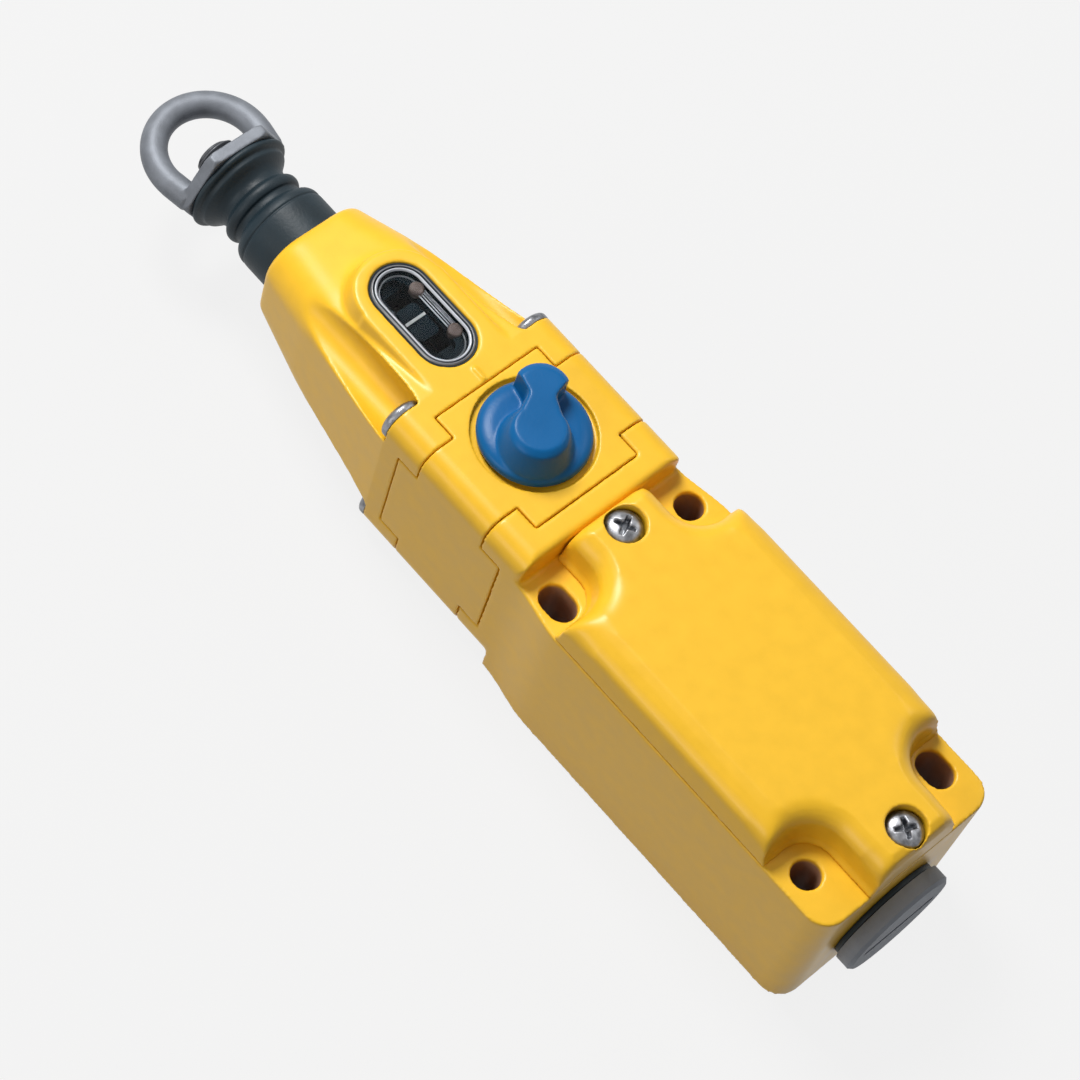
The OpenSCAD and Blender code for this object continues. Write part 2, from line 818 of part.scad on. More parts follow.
module knob_shaft() {
    square_w = shaft_r * 1.3;
    pin_at = [crank_r * cos(crank_rest), crank_r * sin(crank_rest)];
    color(steel)
        translate([knob_x, 0, 0]) {
            difference() {
                translate([0, 0, shaft_foot_z])
                    cylinder(h = knob_z - fit - shaft_foot_z, r = shaft_r);
                // grooves for the clip and the O-ring
                for (g = [[latch_roof_z - 1.1, 0.9, 0.8], [latch_roof_z + 3, 1.9, 1.6]])
                    translate([0, 0, g[0]])
                        difference() {
                            cylinder(h = g[1], r = shaft_r + 1);
                            translate([0, 0, -1])
                                cylinder(h = g[1] + 2, r = shaft_r - g[2]);
                        }
            }
            rotate([0, 0, knob_rest_angle])
                translate([-square_w / 2, -square_w / 2, knob_z - fit - 0.01])
                    cube([square_w, square_w, knob_disc_h + 0.6]);
            translate([pin_at[0], pin_at[1], latch_z])
                cylinder(h = shaft_foot_z - latch_z + 0.01, r = crank_pin_r);
        }
}

module shaft_oring() {
    color(rubber_black)
        translate([knob_x, 0, latch_roof_z + 3.95])
            rotate_extrude()
                translate([shaft_r - 0.8, 0])
                    circle(0.78, $fn = 24);
}

module shaft_clip() {
    color(steel)
        translate([knob_x, 0, latch_roof_z - 1.05])
            difference() {
                cylinder(h = 0.8, r = min(shaft_r + 1.8, latch_chamber_x1 - knob_x - gap));
                translate([0, 0, -1])
                    cylinder(h = 3, r = shaft_r - 0.75);
                translate([0, 0, -1])
                    rotate([0, 0, 180])
                        linear_extrude(3)
                            polygon([[0, 0], [9, -5], [9, 5]]);
            }
}

// ---------- nose ----------

module nose_taper() {
    mid = 0.7;
    mid_y = nose_tip_half * mid + head_w / 2 * (1 - mid) + nose_belly;
    mid_z = nose_tip_half * mid + head_h / 2 * (1 - mid) + nose_belly;
    mid_r = nose_tip_corner * mid + head_edge_r * (1 - mid) + 1;
    hull() {
        head_slice(flange_x - 0.05, head_w / 2, head_h / 2, head_edge_r);
        head_slice(tip_x + tip_round + (nose_len - tip_round) * (1 - mid), mid_y, mid_z, mid_r);
        for (a = [90, 55, 25, 0])
            let (in = tip_round * (1 - sin(a)))
                head_slice(tip_x + tip_round * (1 - cos(a)), nose_tip_half - in, nose_tip_half - in,
                           nose_tip_corner - in);
    }
}

module window_plateau() {
    x_end = window_x - window_pitch / 2;
    foot = axis_z + 8;
    spread = 2.6;
    top = head_front_z;
    translate([x_end, 0, foot])
        cylinder(h = top - foot, r1 = plateau_half + spread, r2 = plateau_half - 0.4);
    x_extrude(x_end, flange_x + 0.01)
        polygon([[-plateau_half - spread, foot], [plateau_half + spread, foot],
                 [plateau_half, top], [-plateau_half, top]]);
}

module nose_housing() {
    pocket_x0 = window_x - window_pitch / 2;
    color(yellow)
        difference() {
            union() {
                difference() {
                    union() {
                        nose_taper();
                        window_plateau();
                    }
                    for (a = screw_axes)
                        x_cyl(tip_x - 1, flange_x, channel_r, a[0], a[1]);
                }
                head_section(flange_x - 0.01, block_x - seam / 2);
                intersection() {
                    head_section(block_x - 1, block_x + key_depth - seam / 2);
                    corner_keys(block_x - 1, block_x + key_depth, -seam / 2);
                }
                // index ridge for the knob
                box([flange_x + 0.4, -0.35, head_front_z - 0.5], [block_x - 0.5, 0.35, head_front_z + 0.3]);
            }
            for (a = screw_axes)
                x_cyl(flange_x - 1, block_x + key_depth + 1, screw_hole_r, a[0], a[1]);
            // boot seat, bush bore, spring chamber
            x_cyl(tip_x - 1, seat_x, boot_d / 2 + 0.1);
            x_cyl(tip_x, chamber_x + 1, bush_r);
            x_cyl(chamber_x, block_x + 1, chamber_r);
            // window pocket and slot for the indicator arm
            translate([window_x, 0, pocket_z])
                linear_extrude(head_h)
                    obround(window_pitch, window_r);
            box([arm_slot_x0, -arm_slot_half, axis_z + 2], [block_x + 1, arm_slot_half, pocket_z + 0.5]);
        }
}

module head_screws() {
    color(zinc)
        for (a = screw_axes)
            translate([flange_x - fit, a[0], a[1]])
                rotate([0, -90, 0])
                    pan_screw(head_screw_d, head_screw_len, head_screw_head_d, head_screw_head_h);
}

module window_lens() {
    color([0.86, 0.9, 0.92, 0.35])
        translate([window_x, 0, lens_z])
            difference() {
                linear_extrude(lens_t)
                    obround(window_pitch, lens_r);
                translate([0, 0, lens_t - 0.35])
                    linear_extrude(1)
                        obround(window_pitch, view_r);
            }
}

module window_seal() {
    color(rubber_black)
        translate([window_x, 0, lens_z])
            linear_extrude(lens_t + 0.1)
                difference() {
                    obround(window_pitch, window_r - fit);
                    obround(window_pitch, window_r - seal_w);
                }
}

module window_frame() {
    track_x0 = -slider_len / 2 - pull_out - gap;
    track_x1 = slider_len / 2 + slack_in + gap;
    color(moulding)
        translate([window_x, 0, 0])
            difference() {
                translate([0, 0, pocket_z + fit])
                    linear_extrude(lens_z - pocket_z - 2 * fit)
                        obround(window_pitch, frame_r);
                // track of the pointer and slot for its arm
                translate([(track_x0 + track_x1) / 2, slider_y, slider_z - gap])
                    linear_extrude(lens_z)
                        round_rect(track_x1 - track_x0, 2 * (slider_half + gap), track_corner_r);
                box([arm_slot_x0 - window_x, -arm_slot_half, 0],
                    [arm_slot_x1 - window_x, arm_slot_half, head_h * 2]);
                // floor of the side shelf that carries the rail
                translate([0, rail_y, lens_z - rail_shelf_depth])
                    linear_extrude(2 * rail_shelf_depth)
                        obround(rail_pitch, rail_shelf_r);
            }
}

module window_pegs() {
    color([0.45, 0.38, 0.33])
        for (s = [-1, 1])
            translate([window_x + s * rail_pitch / 2, rail_y, lens_z - 0.9 + fit])
                cylinder(h = 0.7, r = 0.75);
}

module window_rail() {
    color(steel)
        box([window_x - rail_pitch / 2 + 0.8, rail_y - 0.35, lens_z - 0.9 + fit],
            [window_x + rail_pitch / 2 - 0.8, rail_y + 0.35, lens_z - 0.5]);
}

module indicator_slide() {
    color(rubber_black)
        difference() {
            translate([window_x, slider_y, slider_z])
                linear_extrude(slider_t)
                    round_rect(slider_len, 2 * slider_half, 1.1);
            box([window_x - 0.9, slider_y - slider_half - 1, slider_z + slider_t - 0.3],
                [window_x - 0.3, slider_y + slider_half + 1, slider_z + slider_t + 1]);
        }
}

module indicator_line() {
    color("white")
        box([window_x - 0.87, slider_y - slider_half + 0.05, slider_z + slider_t - 0.27],
            [window_x - 0.33, slider_y + slider_half - 0.05, slider_z + slider_t + 0.03]);
}

module indicator_arm() {
    low = axis_z + collar_r + fit;
    color(steel) {
        box([arm_x0, -arm_half, low], [collar_x + collar_t, arm_half, low + 1]);
        box([arm_x0, -arm_half, low + 0.9], [arm_x0 + arm_len, arm_half, slider_z - fit]);
    }
}

// ---------- rod line ----------

module pull_rod() {
    color(steel)
        difference() {
            union() {
                x_cyl(rod_tip_x + 0.6, rod_end_x, rod_r);
                translate([rod_tip_x, 0, axis_z])
                    rotate([0, 90, 0])
                        cylinder(h = 0.61, r1 = rod_r - 0.6, r2 = rod_r);
            }
            // neck under the latch tooth, groove of the clip
            for (n = [[neck_x0, neck_x1, neck_r], [clip_x, clip_x + clip_t + fit, clip_groove_r]])
                difference() {
                    x_cyl(n[0], n[1], rod_r + 1);
                    x_cyl(n[0] - 1, n[1] + 1, n[2]);
                }
        }
}

module eye_nut() {
    wire_r = eye_wire_d / 2;
    leg = (eye_leg - eye_bend_r * sin(eye_lean)) / cos(eye_lean);
    hex_r = eye_hex_d / 2;
    edge = 0.6;
    color(steel)
        difference() {
            union() {
                // bend of the eye
                translate([eye_x, 0, axis_z])
                    rotate([0, 0, 90 - eye_lean])
                        rotate_extrude(angle = 180 + 2 * eye_lean)
                            translate([eye_bend_r, 0])
                                circle(wire_r);
                // legs, straight on from the bend
                for (s = [-1, 1])
                    translate([eye_x + eye_bend_r * sin(eye_lean), s * eye_bend_r * cos(eye_lean), axis_z])
                        rotate([0, 90, -s * eye_lean])
                            translate([0, 0, -0.3])
                                cylinder(h = leg + 1.1, r = wire_r + 0.04);
                // hexagonal flange with turned edges
                intersection() {
                    x_cyl_hex(hex_x, hex_x + eye_hex_t, hex_r);
                    translate([hex_x, 0, axis_z])
                        rotate([0, 90, 0])
                            rotate_extrude()
                                polygon([[0, 0], [hex_r - edge, 0], [hex_r, edge],
                                         [hex_r, eye_hex_t - edge], [hex_r - edge, eye_hex_t],
                                         [0, eye_hex_t]]);
                }
            }
            x_cyl(hex_x - 1, hex_x + eye_hex_t + 1, rod_r + fit);
        }
}

// hexagonal prism along X with flats towards the front and the back
module x_cyl_hex(x0, x1, r) {
    translate([x0, 0, axis_z])
        rotate([0, 90, 0])
            rotate([0, 0, 90])
                cylinder(h = x1 - x0, r = r, $fn = 6);
}

module front_bush() {
    color(brass)
        difference() {
            x_cyl(seat_x + fit, chamber_x, bush_r - 0.02);
            x_cyl(tip_x - 1, chamber_x + 1, rod_bore_r);
        }
}

module spring_seat() {
    color(steel)
        difference() {
            x_cyl(chamber_x + 0.02, chamber_x + seat_t, chamber_r - 0.1);
            x_cyl(chamber_x - 1, chamber_x + seat_t + 1, rod_r + gap);
        }
}

module run_spring() {
    color(steel)
        translate([0, 0, axis_z])
            coil(spring_x0, collar_x - fit, spring_r, spring_wire_r, spring_turns);
}

module spring_collar() {
    color(steel)
        difference() {
            x_cyl(collar_x, collar_x + collar_t - 0.02, collar_r);
            x_cyl(collar_x - 1, collar_x + collar_t + 1, rod_r + 0.02);
        }
}

module collar_clip() {
    x0 = clip_x + 0.03;
    color(steel)
        difference() {
            x_cyl(x0, x0 + clip_t - 0.05, rod_r + 1.3);
            x_cyl(x0 - 1, x0 + 2, clip_groove_r + 0.03);
            x_extrude(x0 - 1, x0 + 2)
                polygon([[0, axis_z], [3, axis_z - 9], [-3, axis_z - 9]]);
        }
}

module rubber_boot() {
    r = boot_d / 2;
    rt = boot_top_d / 2;
    in_r = rod_r + boot_room;
    foot = boot_len + boot_seat - fit;
    bead = [for (a = [180:-30:0])
        [boot_bead_x - boot_bead_w * cos(a), boot_waist_r + 0.1 + boot_bead_h * sin(a)]];
    shoulder_arc = [for (a = [0:30:90]) [boot_shoulder_x - 1.3 * sin(a), r - 1.6 + 1.6 * cos(a)]];
    flare = [for (a = [0:15:90])
        [boot_flare_x - (boot_flare_x - 1.4) * sin(a), boot_waist_r + boot_flare_h * (1 - cos(a))]];
    outline = concat(
        [[foot, in_r], [foot, r]],
        shoulder_arc,
        [[boot_bead_x + boot_bead_w + 0.9, boot_waist_r + 0.15]],
        bead,
        [[boot_flare_x + 0.2, boot_waist_r]],
        flare,
        [[1.2, rt - 0.25], [0.8, rt], [0.35, rt], [0, rt - 0.3], [0, rod_r + 2 * fit],
         [1.6, rod_r + 2 * fit], [2.4, in_r]]);
    color(rubber_black)
        translate([boot_top_x, 0, axis_z])
            rotate([0, 90, 0])
                rotate_extrude()
                    polygon([for (p = outline) [p[1], p[0]]]);
}

// ---------- contact block ----------

module contact_base() {
    rail_x = 2 * pole_pitch + 1.6;
    color(moulding)
        difference() {
            union() {
                box([base_x0, -base_half, base_z], [base_x1, base_half, track_z]);
                for (s = [-1, 1])
                    mirror([0, s < 0 ? 1 : 0, 0]) {
                        box([-rail_x, rail_in, track_z - 0.01], [rail_x, base_half, rail_top]);
                        // barriers between the terminals
                        for (i = [-2:2])
                            box([i * pole_pitch - 0.4, rail_in + 0.8, rail_top - 0.01],
                                [i * pole_pitch + 0.4, base_half, rail_top + 3]);
                    }
                box([base_x1 - spring_wall_t, -5, track_z - 0.01], [base_x1, 5, rail_top]);
            }
            for (x = poles, s = [-1, 1])
                translate([x, s * terminal_y, rail_top - 6.5])
                    cylinder(h = 10, r = terminal_r + fit);
            for (i = [0:3], s = [-1, 1])
                mirror([0, s < 0 ? 1 : 0, 0])
                    box([pole_tab_x(i) - tab_x / 2 - fit, rail_in - 1, axis_z - 1 - fit],
                        [pole_tab_x(i) + tab_x / 2 + fit, rail_in + fit, rail_top + 1]);
            for (s = [-1, 1])
                translate([base_x1 - screw_in, s * (base_half - screw_in), 0])
                    cylinder(h = 2 * track_z, r = base_screw_r + 0.15);
        }
}

function pole_tab_x(i) = poles[i] - (i == open_pole ? open_shift : 0);

module base_screws() {
    color(zinc)
        for (s = [-1, 1])
            translate([base_x1 - screw_in, s * (base_half - screw_in), track_z + fit])
                pan_screw(2 * base_screw_r, track_z - case_floor + screw_bite, base_head_d, base_head_h);
}

module fixed_contacts() {
    color(brass)
        for (i = [0:3], s = [-1, 1])
            mirror([0, s < 0 ? 1 : 0, 0])
                difference() {
                    union() {
                        box([poles[i] - strip_w / 2, rail_in - tab_t, rail_top + fit],
                            [poles[i] + strip_w / 2, terminal_y + 2.6, rail_top + fit + 0.8]);
                        box([pole_tab_x(i) - tab_x / 2, rail_in - tab_t, axis_z - 1],
                            [pole_tab_x(i) + tab_x / 2, rail_in, rail_top + fit + 0.8]);
                    }
                    translate([poles[i], terminal_y, rail_top - 1])
                        cylinder(h = 5, r = terminal_r + fit);
                }
}

module terminal_clamps() {
    color(zinc)
        for (x = poles, s = [-1, 1])
            translate([x, s * terminal_y, rail_top + 0.9])
                difference() {
                    linear_extrude(1)
                        round_rect(5, 5, 0.6);
                    translate([0, 0, -1])
                        cylinder(h = 3, r = terminal_r + fit);
                }
}

module terminal_screws() {
    color(zinc)
        for (x = poles, s = [-1, 1])
            translate([x, s * terminal_y, rail_top + 1.95])
                pan_screw(2 * terminal_r, terminal_len, terminal_head_d, terminal_head_h);
}

module contact_carriage() {
    l = carriage_half_len;
    color([0.75, 0.12, 0.10])
        difference() {
            union() {
                box([-l, -carriage_wide, track_z + gap], [l, carriage_wide, axis_z - 1.6]);
                box([-l, -carriage_narrow, axis_z - 1.61], [l, carriage_narrow, carriage_top]);
            }
            for (x = poles)
                box([x - bar_x / 2 - fit, -rail_in, bar_z - fit],
                    [x + bar_x / 2 + fit, rail_in, bar_z + bar_t + fit]);
            x_cyl(l - return_depth, l + 1, return_bore_r, 0, return_z);
        }
}

module contact_bridges() {
    color(brass)
        for (x = poles)
            box([x - bar_x / 2, -bar_half, bar_z], [x + bar_x / 2, bar_half, bar_z + bar_t]);
}

module drive_pin() {
    color(steel)
        x_cyl(rod_end_x + gap, -carriage_half_len - 0.02, pin_r);
}

module carriage_spring() {
    color(steel)
        translate([0, 0, return_z])
            coil(carriage_half_len - return_depth + fit, base_x1 - spring_wall_t - fit,
                 return_r, return_wire_r, return_turns, 12, 6);
}

// ---------- conduit end and earth ----------

module conduit_plug() {
    head_x0 = end_x + washer_t + 2 * fit;
    head_x1 = head_x0 + plug_head_h;
    coin_half = plug_head_d / 2 - coin_inset;
    color(plug_grey)
        difference() {
            union() {
                x_cyl(end_x - plug_reach, head_x0 + 0.01, conduit_d / 2, 0, conduit_z);
                x_cyl(head_x0, head_x1 - plug_chamfer, plug_head_d / 2, 0, conduit_z);
                translate([head_x1 - plug_chamfer - 0.01, 0, conduit_z])
                    rotate([0, 90, 0])
                        cylinder(h = plug_chamfer, r1 = plug_head_d / 2,
                                 r2 = plug_head_d / 2 - plug_chamfer);
            }
            // hollow shank and a coin slot
            x_cyl(end_x - plug_reach - 1, end_x - washer_t, conduit_d / 2 - plug_wall, 0, conduit_z);
            box([head_x1 - coin_depth, -coin_half, conduit_z - coin_w / 2],
                [head_x1 + 1, coin_half, conduit_z + coin_w / 2]);
        }
}

module plug_washer() {
    color(rubber_black)
        difference() {
            x_cyl(end_x + fit, end_x + washer_t, conduit_d / 2 + fit + washer_w, 0, conduit_z);
            x_cyl(end_x - 1, end_x + washer_t + 1, conduit_d / 2 + fit, 0, conduit_z);
        }
}

module earth_clamp() {
    color(brass)
        translate([earth_x, base_half - screw_in, case_floor + fit])
            difference() {
                linear_extrude(1)
                    round_rect(4.2, 6, 0.6);
                translate([0, 0, -1])
                    cylinder(h = 3, r = base_screw_r + 0.15);
            }
}

module earth_screw() {
    color(zinc)
        translate([earth_x, base_half - screw_in, case_floor + 1 + 2 * fit])
            pan_screw(2 * base_screw_r, 2.4, 4.4, 1.8);
}

main_housing();
cover();
cover_gasket();
cover_screws();
reset_block();
nose_housing();
head_screws();
window_lens();
window_seal();
window_frame();
window_pegs();
window_rail();
indicator_slide();
indicator_line();
indicator_arm();
front_bush();
rear_bush();
pull_rod();
eye_nut();
spring_seat();
run_spring();
spring_collar();
collar_clip();
rubber_boot();
reset_knob();
knob_shaft();
shaft_oring();
shaft_clip();
latch_slide();
latch_plate();
contact_base();
base_screws();
fixed_contacts();
terminal_clamps();
terminal_screws();
contact_carriage();
contact_bridges();
drive_pin();
carriage_spring();
conduit_plug();
plug_washer();
earth_screw();
earth_clamp();
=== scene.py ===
import json
import math

import bmesh
import bpy
import numpy as np
from mathutils import Euler, Matrix, Vector


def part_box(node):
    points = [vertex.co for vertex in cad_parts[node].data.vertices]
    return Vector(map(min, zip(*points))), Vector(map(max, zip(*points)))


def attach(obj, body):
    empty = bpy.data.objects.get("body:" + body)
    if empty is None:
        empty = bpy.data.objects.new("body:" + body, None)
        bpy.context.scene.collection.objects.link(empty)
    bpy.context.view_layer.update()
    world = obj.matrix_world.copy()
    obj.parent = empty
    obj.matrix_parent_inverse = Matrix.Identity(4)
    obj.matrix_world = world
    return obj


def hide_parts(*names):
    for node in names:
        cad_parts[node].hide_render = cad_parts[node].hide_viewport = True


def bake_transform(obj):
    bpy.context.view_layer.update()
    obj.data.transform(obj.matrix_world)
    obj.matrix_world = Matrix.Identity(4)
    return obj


# The looks of a rope pull switch. The castings, the knob and the eye are rounded copies of their
# CAD pieces. Screws, boot, rod, springs and window are made here, and small parts keep their CAD mesh.

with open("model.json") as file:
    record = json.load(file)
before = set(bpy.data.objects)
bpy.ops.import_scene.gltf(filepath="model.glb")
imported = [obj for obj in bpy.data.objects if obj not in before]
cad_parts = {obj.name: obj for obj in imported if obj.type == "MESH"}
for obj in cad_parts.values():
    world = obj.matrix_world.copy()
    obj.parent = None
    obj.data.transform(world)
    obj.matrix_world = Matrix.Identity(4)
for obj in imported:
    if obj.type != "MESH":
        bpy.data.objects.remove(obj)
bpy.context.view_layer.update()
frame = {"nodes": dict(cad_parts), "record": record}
nodes = frame["nodes"]
record = frame["record"]
slots = {s["node"]: s["material_slot"] for s in record["subparts"]}
bodies = {n: b for b, names in record["behaviour"]["bodies"].items() for n in names}

MM = 0.001
TAU = 2 * math.pi
WELD = 2e-7  # metres: points of a piece that lie closer than this become one


# ---------- places that the frame gives, in millimetres ----------

def box_mm(node):
    """The lowest and the highest corner of a CAD node."""
    lo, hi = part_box(node)
    return lo / MM, hi / MM


axis_z = sum(v.z for v in box_mm("pull_rod")) / 2
tip_x = box_mm("nose_housing")[0].x
cover_z = box_mm("cover")[1].z
flange_z = box_mm("cover_gasket")[1].z
hole_r = record["mounts"][0]["dims"]["hole_r_mm"]
HOLE_X, HOLE_Y = 30, 15  # half the pitches of the mounting holes
SLOT_PLAY = 1            # from a slot's middle to the centres of its round ends


# ---------- helpers for node trees ----------

def calc(tree, what, *values):
    """The output of a math node; each value is a number or a socket."""
    node = tree.nodes.new("ShaderNodeMath")
    node.operation = what
    for socket, value in zip(node.inputs, values):
        if isinstance(value, (int, float)):
            socket.default_value = value
        else:
            tree.links.new(value, socket)
    return node.outputs[0]


def mapped(tree, value, low, high, to_low=0.0, to_high=1.0):
    """The output of a map range node."""
    node = tree.nodes.new("ShaderNodeMapRange")
    for socket, number in (("From Min", low), ("From Max", high), ("To Min", to_low), ("To Max", to_high)):
        node.inputs[socket].default_value = number
    tree.links.new(value, node.inputs["Value"])
    return node.outputs["Result"]


def mix_shaders(tree, factor, first, second, output):
    """Leads a mix of two shaders to the output node."""
    mix = tree.nodes.new("ShaderNodeMixShader")
    tree.links.new(factor, mix.inputs["Fac"])
    tree.links.new(first.outputs[0], mix.inputs[1])
    tree.links.new(second.outputs[0], mix.inputs[2])
    tree.links.new(mix.outputs[0], tree.nodes[output].inputs["Surface"])


def open_view(tree):
    """1 for rays that see the backdrop straight, in a reflection or through glass."""
    path = tree.nodes.new("ShaderNodeLightPath")
    out = path.outputs["Is Camera Ray"]
    for kind in ("Is Glossy Ray", "Is Transmission Ray"):
        out = calc(tree, "MAXIMUM", out, path.outputs[kind])
    return out


# ---------- camera, light and floor, in metres ----------

FOCAL_LENGTH, SENSOR_WIDTH = 116.9013, 36  # in millimetres
CAMERA_PLACE = (0.095419, -0.256033, 0.535503)
CAMERA_TURN = (27.42435, -10.40518, 48.06596)  # degrees about X, Y and Z

AIM = (-0.03, 0, 0.02)  # where the lamps point
LAMPS = {  # place, size, watts and colour
    "key": ((-0.52, 0.06, 0.74), (0.30, 0.30), 8.0, (1.0, 0.99, 0.98)),
    "fill": ((-0.15, -0.85, 0.45), (0.5, 0.35), 2.2, (1.0, 0.97, 0.95)),
    "back": ((0.10, 0.70, 0.75), (0.35, 0.25), 1.0, (1, 1, 1)),
}
SKY_COLOUR, SKY_STRENGTH = (1.0, 0.98, 0.96, 1), 0.09
FLOOR_HALF, FLOOR_DROP = 3.0, 0.0002  # half its side, and how far it lies below the back face
FLOOR_GREY, FLOOR_ROUGH = (0.28, 0.28, 0.28, 1), 0.9
FLOOR_GLOW = 0.85  # the share of white in what the rays of open_view see of the floor


def camera():
    """The photograph's viewing angle."""
    data = bpy.data.cameras.new("camera")
    data.lens, data.sensor_width = FOCAL_LENGTH, SENSOR_WIDTH
    data.clip_start, data.clip_end = 0.01, 20
    cam = bpy.data.objects.new("camera", data)
    bpy.context.collection.objects.link(cam)
    turn = Euler([math.radians(angle) for angle in CAMERA_TURN]).to_matrix().to_4x4()
    cam.matrix_world = Matrix.Translation(CAMERA_PLACE) @ turn
    bpy.context.scene.camera = cam


def lamp(name, place, size, power, colour):
    """A soft rectangular lamp that points at AIM."""
    data = bpy.data.lights.new(name, "AREA")
    data.shape, data.size, data.size_y = "RECTANGLE", size[0], size[1]
    data.energy, data.color = power, colour
    obj = bpy.data.objects.new(name, data)
    bpy.context.collection.objects.link(obj)
    obj.location = place
    obj.rotation_mode = "QUATERNION"
    obj.rotation_quaternion = (Vector(AIM) - Vector(place)).to_track_quat("-Z", "Y")


def sky():
    """A dim world that is white where open_view sees it."""
    world = bpy.data.worlds.new("studio")
    bpy.context.scene.world = world
    world.use_nodes = True
    tree = world.node_tree
    dim = tree.nodes["Background"]
    dim.inputs["Color"].default_value = SKY_COLOUR
    dim.inputs["Strength"].default_value = SKY_STRENGTH
    white = tree.nodes.new("ShaderNodeBackground")
    white.inputs["Strength"].default_value = 1.0
    mix_shaders(tree, open_view(tree), dim, white, "World Output")


def floor():
    """A grey plane that takes shadows and looks nearly white to open_view."""
    mesh = bpy.data.meshes.new("floor")
    half = FLOOR_HALF
    corners = [(-half, -half, 0), (half, -half, 0), (half, half, 0), (-half, half, 0)]
    mesh.from_pydata(corners, [], [(0, 1, 2, 3)])
    obj = bpy.data.objects.new("floor", mesh)
    obj.location.z = -FLOOR_DROP
    bpy.context.collection.objects.link(obj)
    mat = bpy.data.materials.new("floor")
    mat.use_nodes = True
    tree = mat.node_tree
    shade = tree.nodes["Principled BSDF"]
    shade.inputs["Base Color"].default_value = FLOOR_GREY
    shade.inputs["Roughness"].default_value = FLOOR_ROUGH
    glow = tree.nodes.new("ShaderNodeEmission")
    glow.inputs["Strength"].default_value = 1.0
    share = calc(tree, "MULTIPLY", open_view(tree), FLOOR_GLOW)
    mix_shaders(tree, share, shade, glow, "Material Output")
    mesh.materials.append(mat)


def studio():
    bpy.context.scene.view_settings.view_transform = "Standard"
    sky()
    for name, values in LAMPS.items():
        lamp(name, *values)
    floor()


# ---------- materials ----------

CLOUD_SIZE = 12         # the colour's clouds are this many times as large as the surface's grain
CLOUD_RANGE = 0.3, 0.7  # the noise values where the colour is darkest and lightest
GLASS_IOR = 1.18        # low, so that the pane hardly mirrors the white backdrop
RIM_PLAY = 0.4          # how far round a mounting hole its shade reaches, in mm
RIM_DEPTH, DARK_DEPTH = 0.35, 1.3  # where a hole's shade starts and is full, in mm below the flange


def painted_hole_shade(tree, where):
    """1 on the walls of the four mounting holes, below their rims, where painted shade darkens the casting.
    """
    split = tree.nodes.new("ShaderNodeSeparateXYZ")
    tree.links.new(where, split.inputs[0])
    x, y, z = split.outputs

    def past(value, middle):
        return calc(tree, "SUBTRACT", calc(tree, "ABSOLUTE", value), middle * MM)

    along = calc(tree, "SUBTRACT", calc(tree, "ABSOLUTE", past(x, HOLE_X)), SLOT_PLAY * MM)
    along = calc(tree, "MAXIMUM", along, 0.0)
    across = past(y, HOLE_Y)
    squares = calc(tree, "ADD", calc(tree, "MULTIPLY", along, along), calc(tree, "MULTIPLY", across, across))
    near = calc(tree, "LESS_THAN", calc(tree, "SQRT", squares), (hole_r + RIM_PLAY) * MM)
    deep = mapped(tree, z, (flange_z - RIM_DEPTH) * MM, (flange_z - DARK_DEPTH) * MM)
    return calc(tree, "MULTIPLY", near, deep)


def material(name, colour, rough, metal=0.0, tone=0.06, grain=1500, bump=0.00002, rough_var=0.08,
             coat=0.0, coat_rough=0.1, spec=0.5, hole_shade_colour=None):
    """A clouded colour and roughness over a fine grain.

    tone is the share by which the colour strays, grain how many grains lie in a metre, and
    the last argument the colour of painted shade on the walls of the mounting holes.
    """
    mat = bpy.data.materials.new(name)
    mat.use_nodes = True
    tree = mat.node_tree
    shader = tree.nodes["Principled BSDF"]
    shader.inputs["Metallic"].default_value = metal
    shader.inputs["Coat Weight"].default_value = coat
    shader.inputs["Coat Roughness"].default_value = coat_rough
    shader.inputs["Specular IOR Level"].default_value = spec
    where = tree.nodes.new("ShaderNodeTexCoord").outputs["Object"]

    def noise(scale, detail):
        node = tree.nodes.new("ShaderNodeTexNoise")
        node.inputs["Scale"].default_value = scale
        node.inputs["Detail"].default_value = detail
        tree.links.new(where, node.inputs["Vector"])
        return node.outputs["Fac"]

    cloud, fine = noise(grain / CLOUD_SIZE, detail=5), noise(grain, detail=2)
    shades = tree.nodes.new("ShaderNodeValToRGB")
    for end, place, share in zip(shades.color_ramp.elements, CLOUD_RANGE, (1 - tone, 1 + tone)):
        end.position = place
        end.color = (*[min(1, c * share) for c in colour], 1)
    tree.links.new(cloud, shades.inputs["Fac"])
    out = shades.outputs["Color"]
    # painted shade: the walls of the mounting holes darken to this colour
    if hole_shade_colour:
        dark = tree.nodes.new("ShaderNodeMix")
        dark.data_type = "RGBA"
        dark.inputs["B"].default_value = (*hole_shade_colour, 1)
        tree.links.new(painted_hole_shade(tree, where), dark.inputs["Factor"])
        tree.links.new(out, dark.inputs["A"])
        out = dark.outputs["Result"]
    tree.links.new(out, shader.inputs["Base Color"])
    gloss = mapped(tree, cloud, 0.0, 1.0, rough - rough_var, rough + rough_var)
    tree.links.new(gloss, shader.inputs["Roughness"])
    relief = tree.nodes.new("ShaderNodeBump")
    relief.inputs["Distance"].default_value = bump
    tree.links.new(fine, relief.inputs["Height"])
    tree.links.new(relief.outputs["Normal"], shader.inputs["Normal"])
    return mat


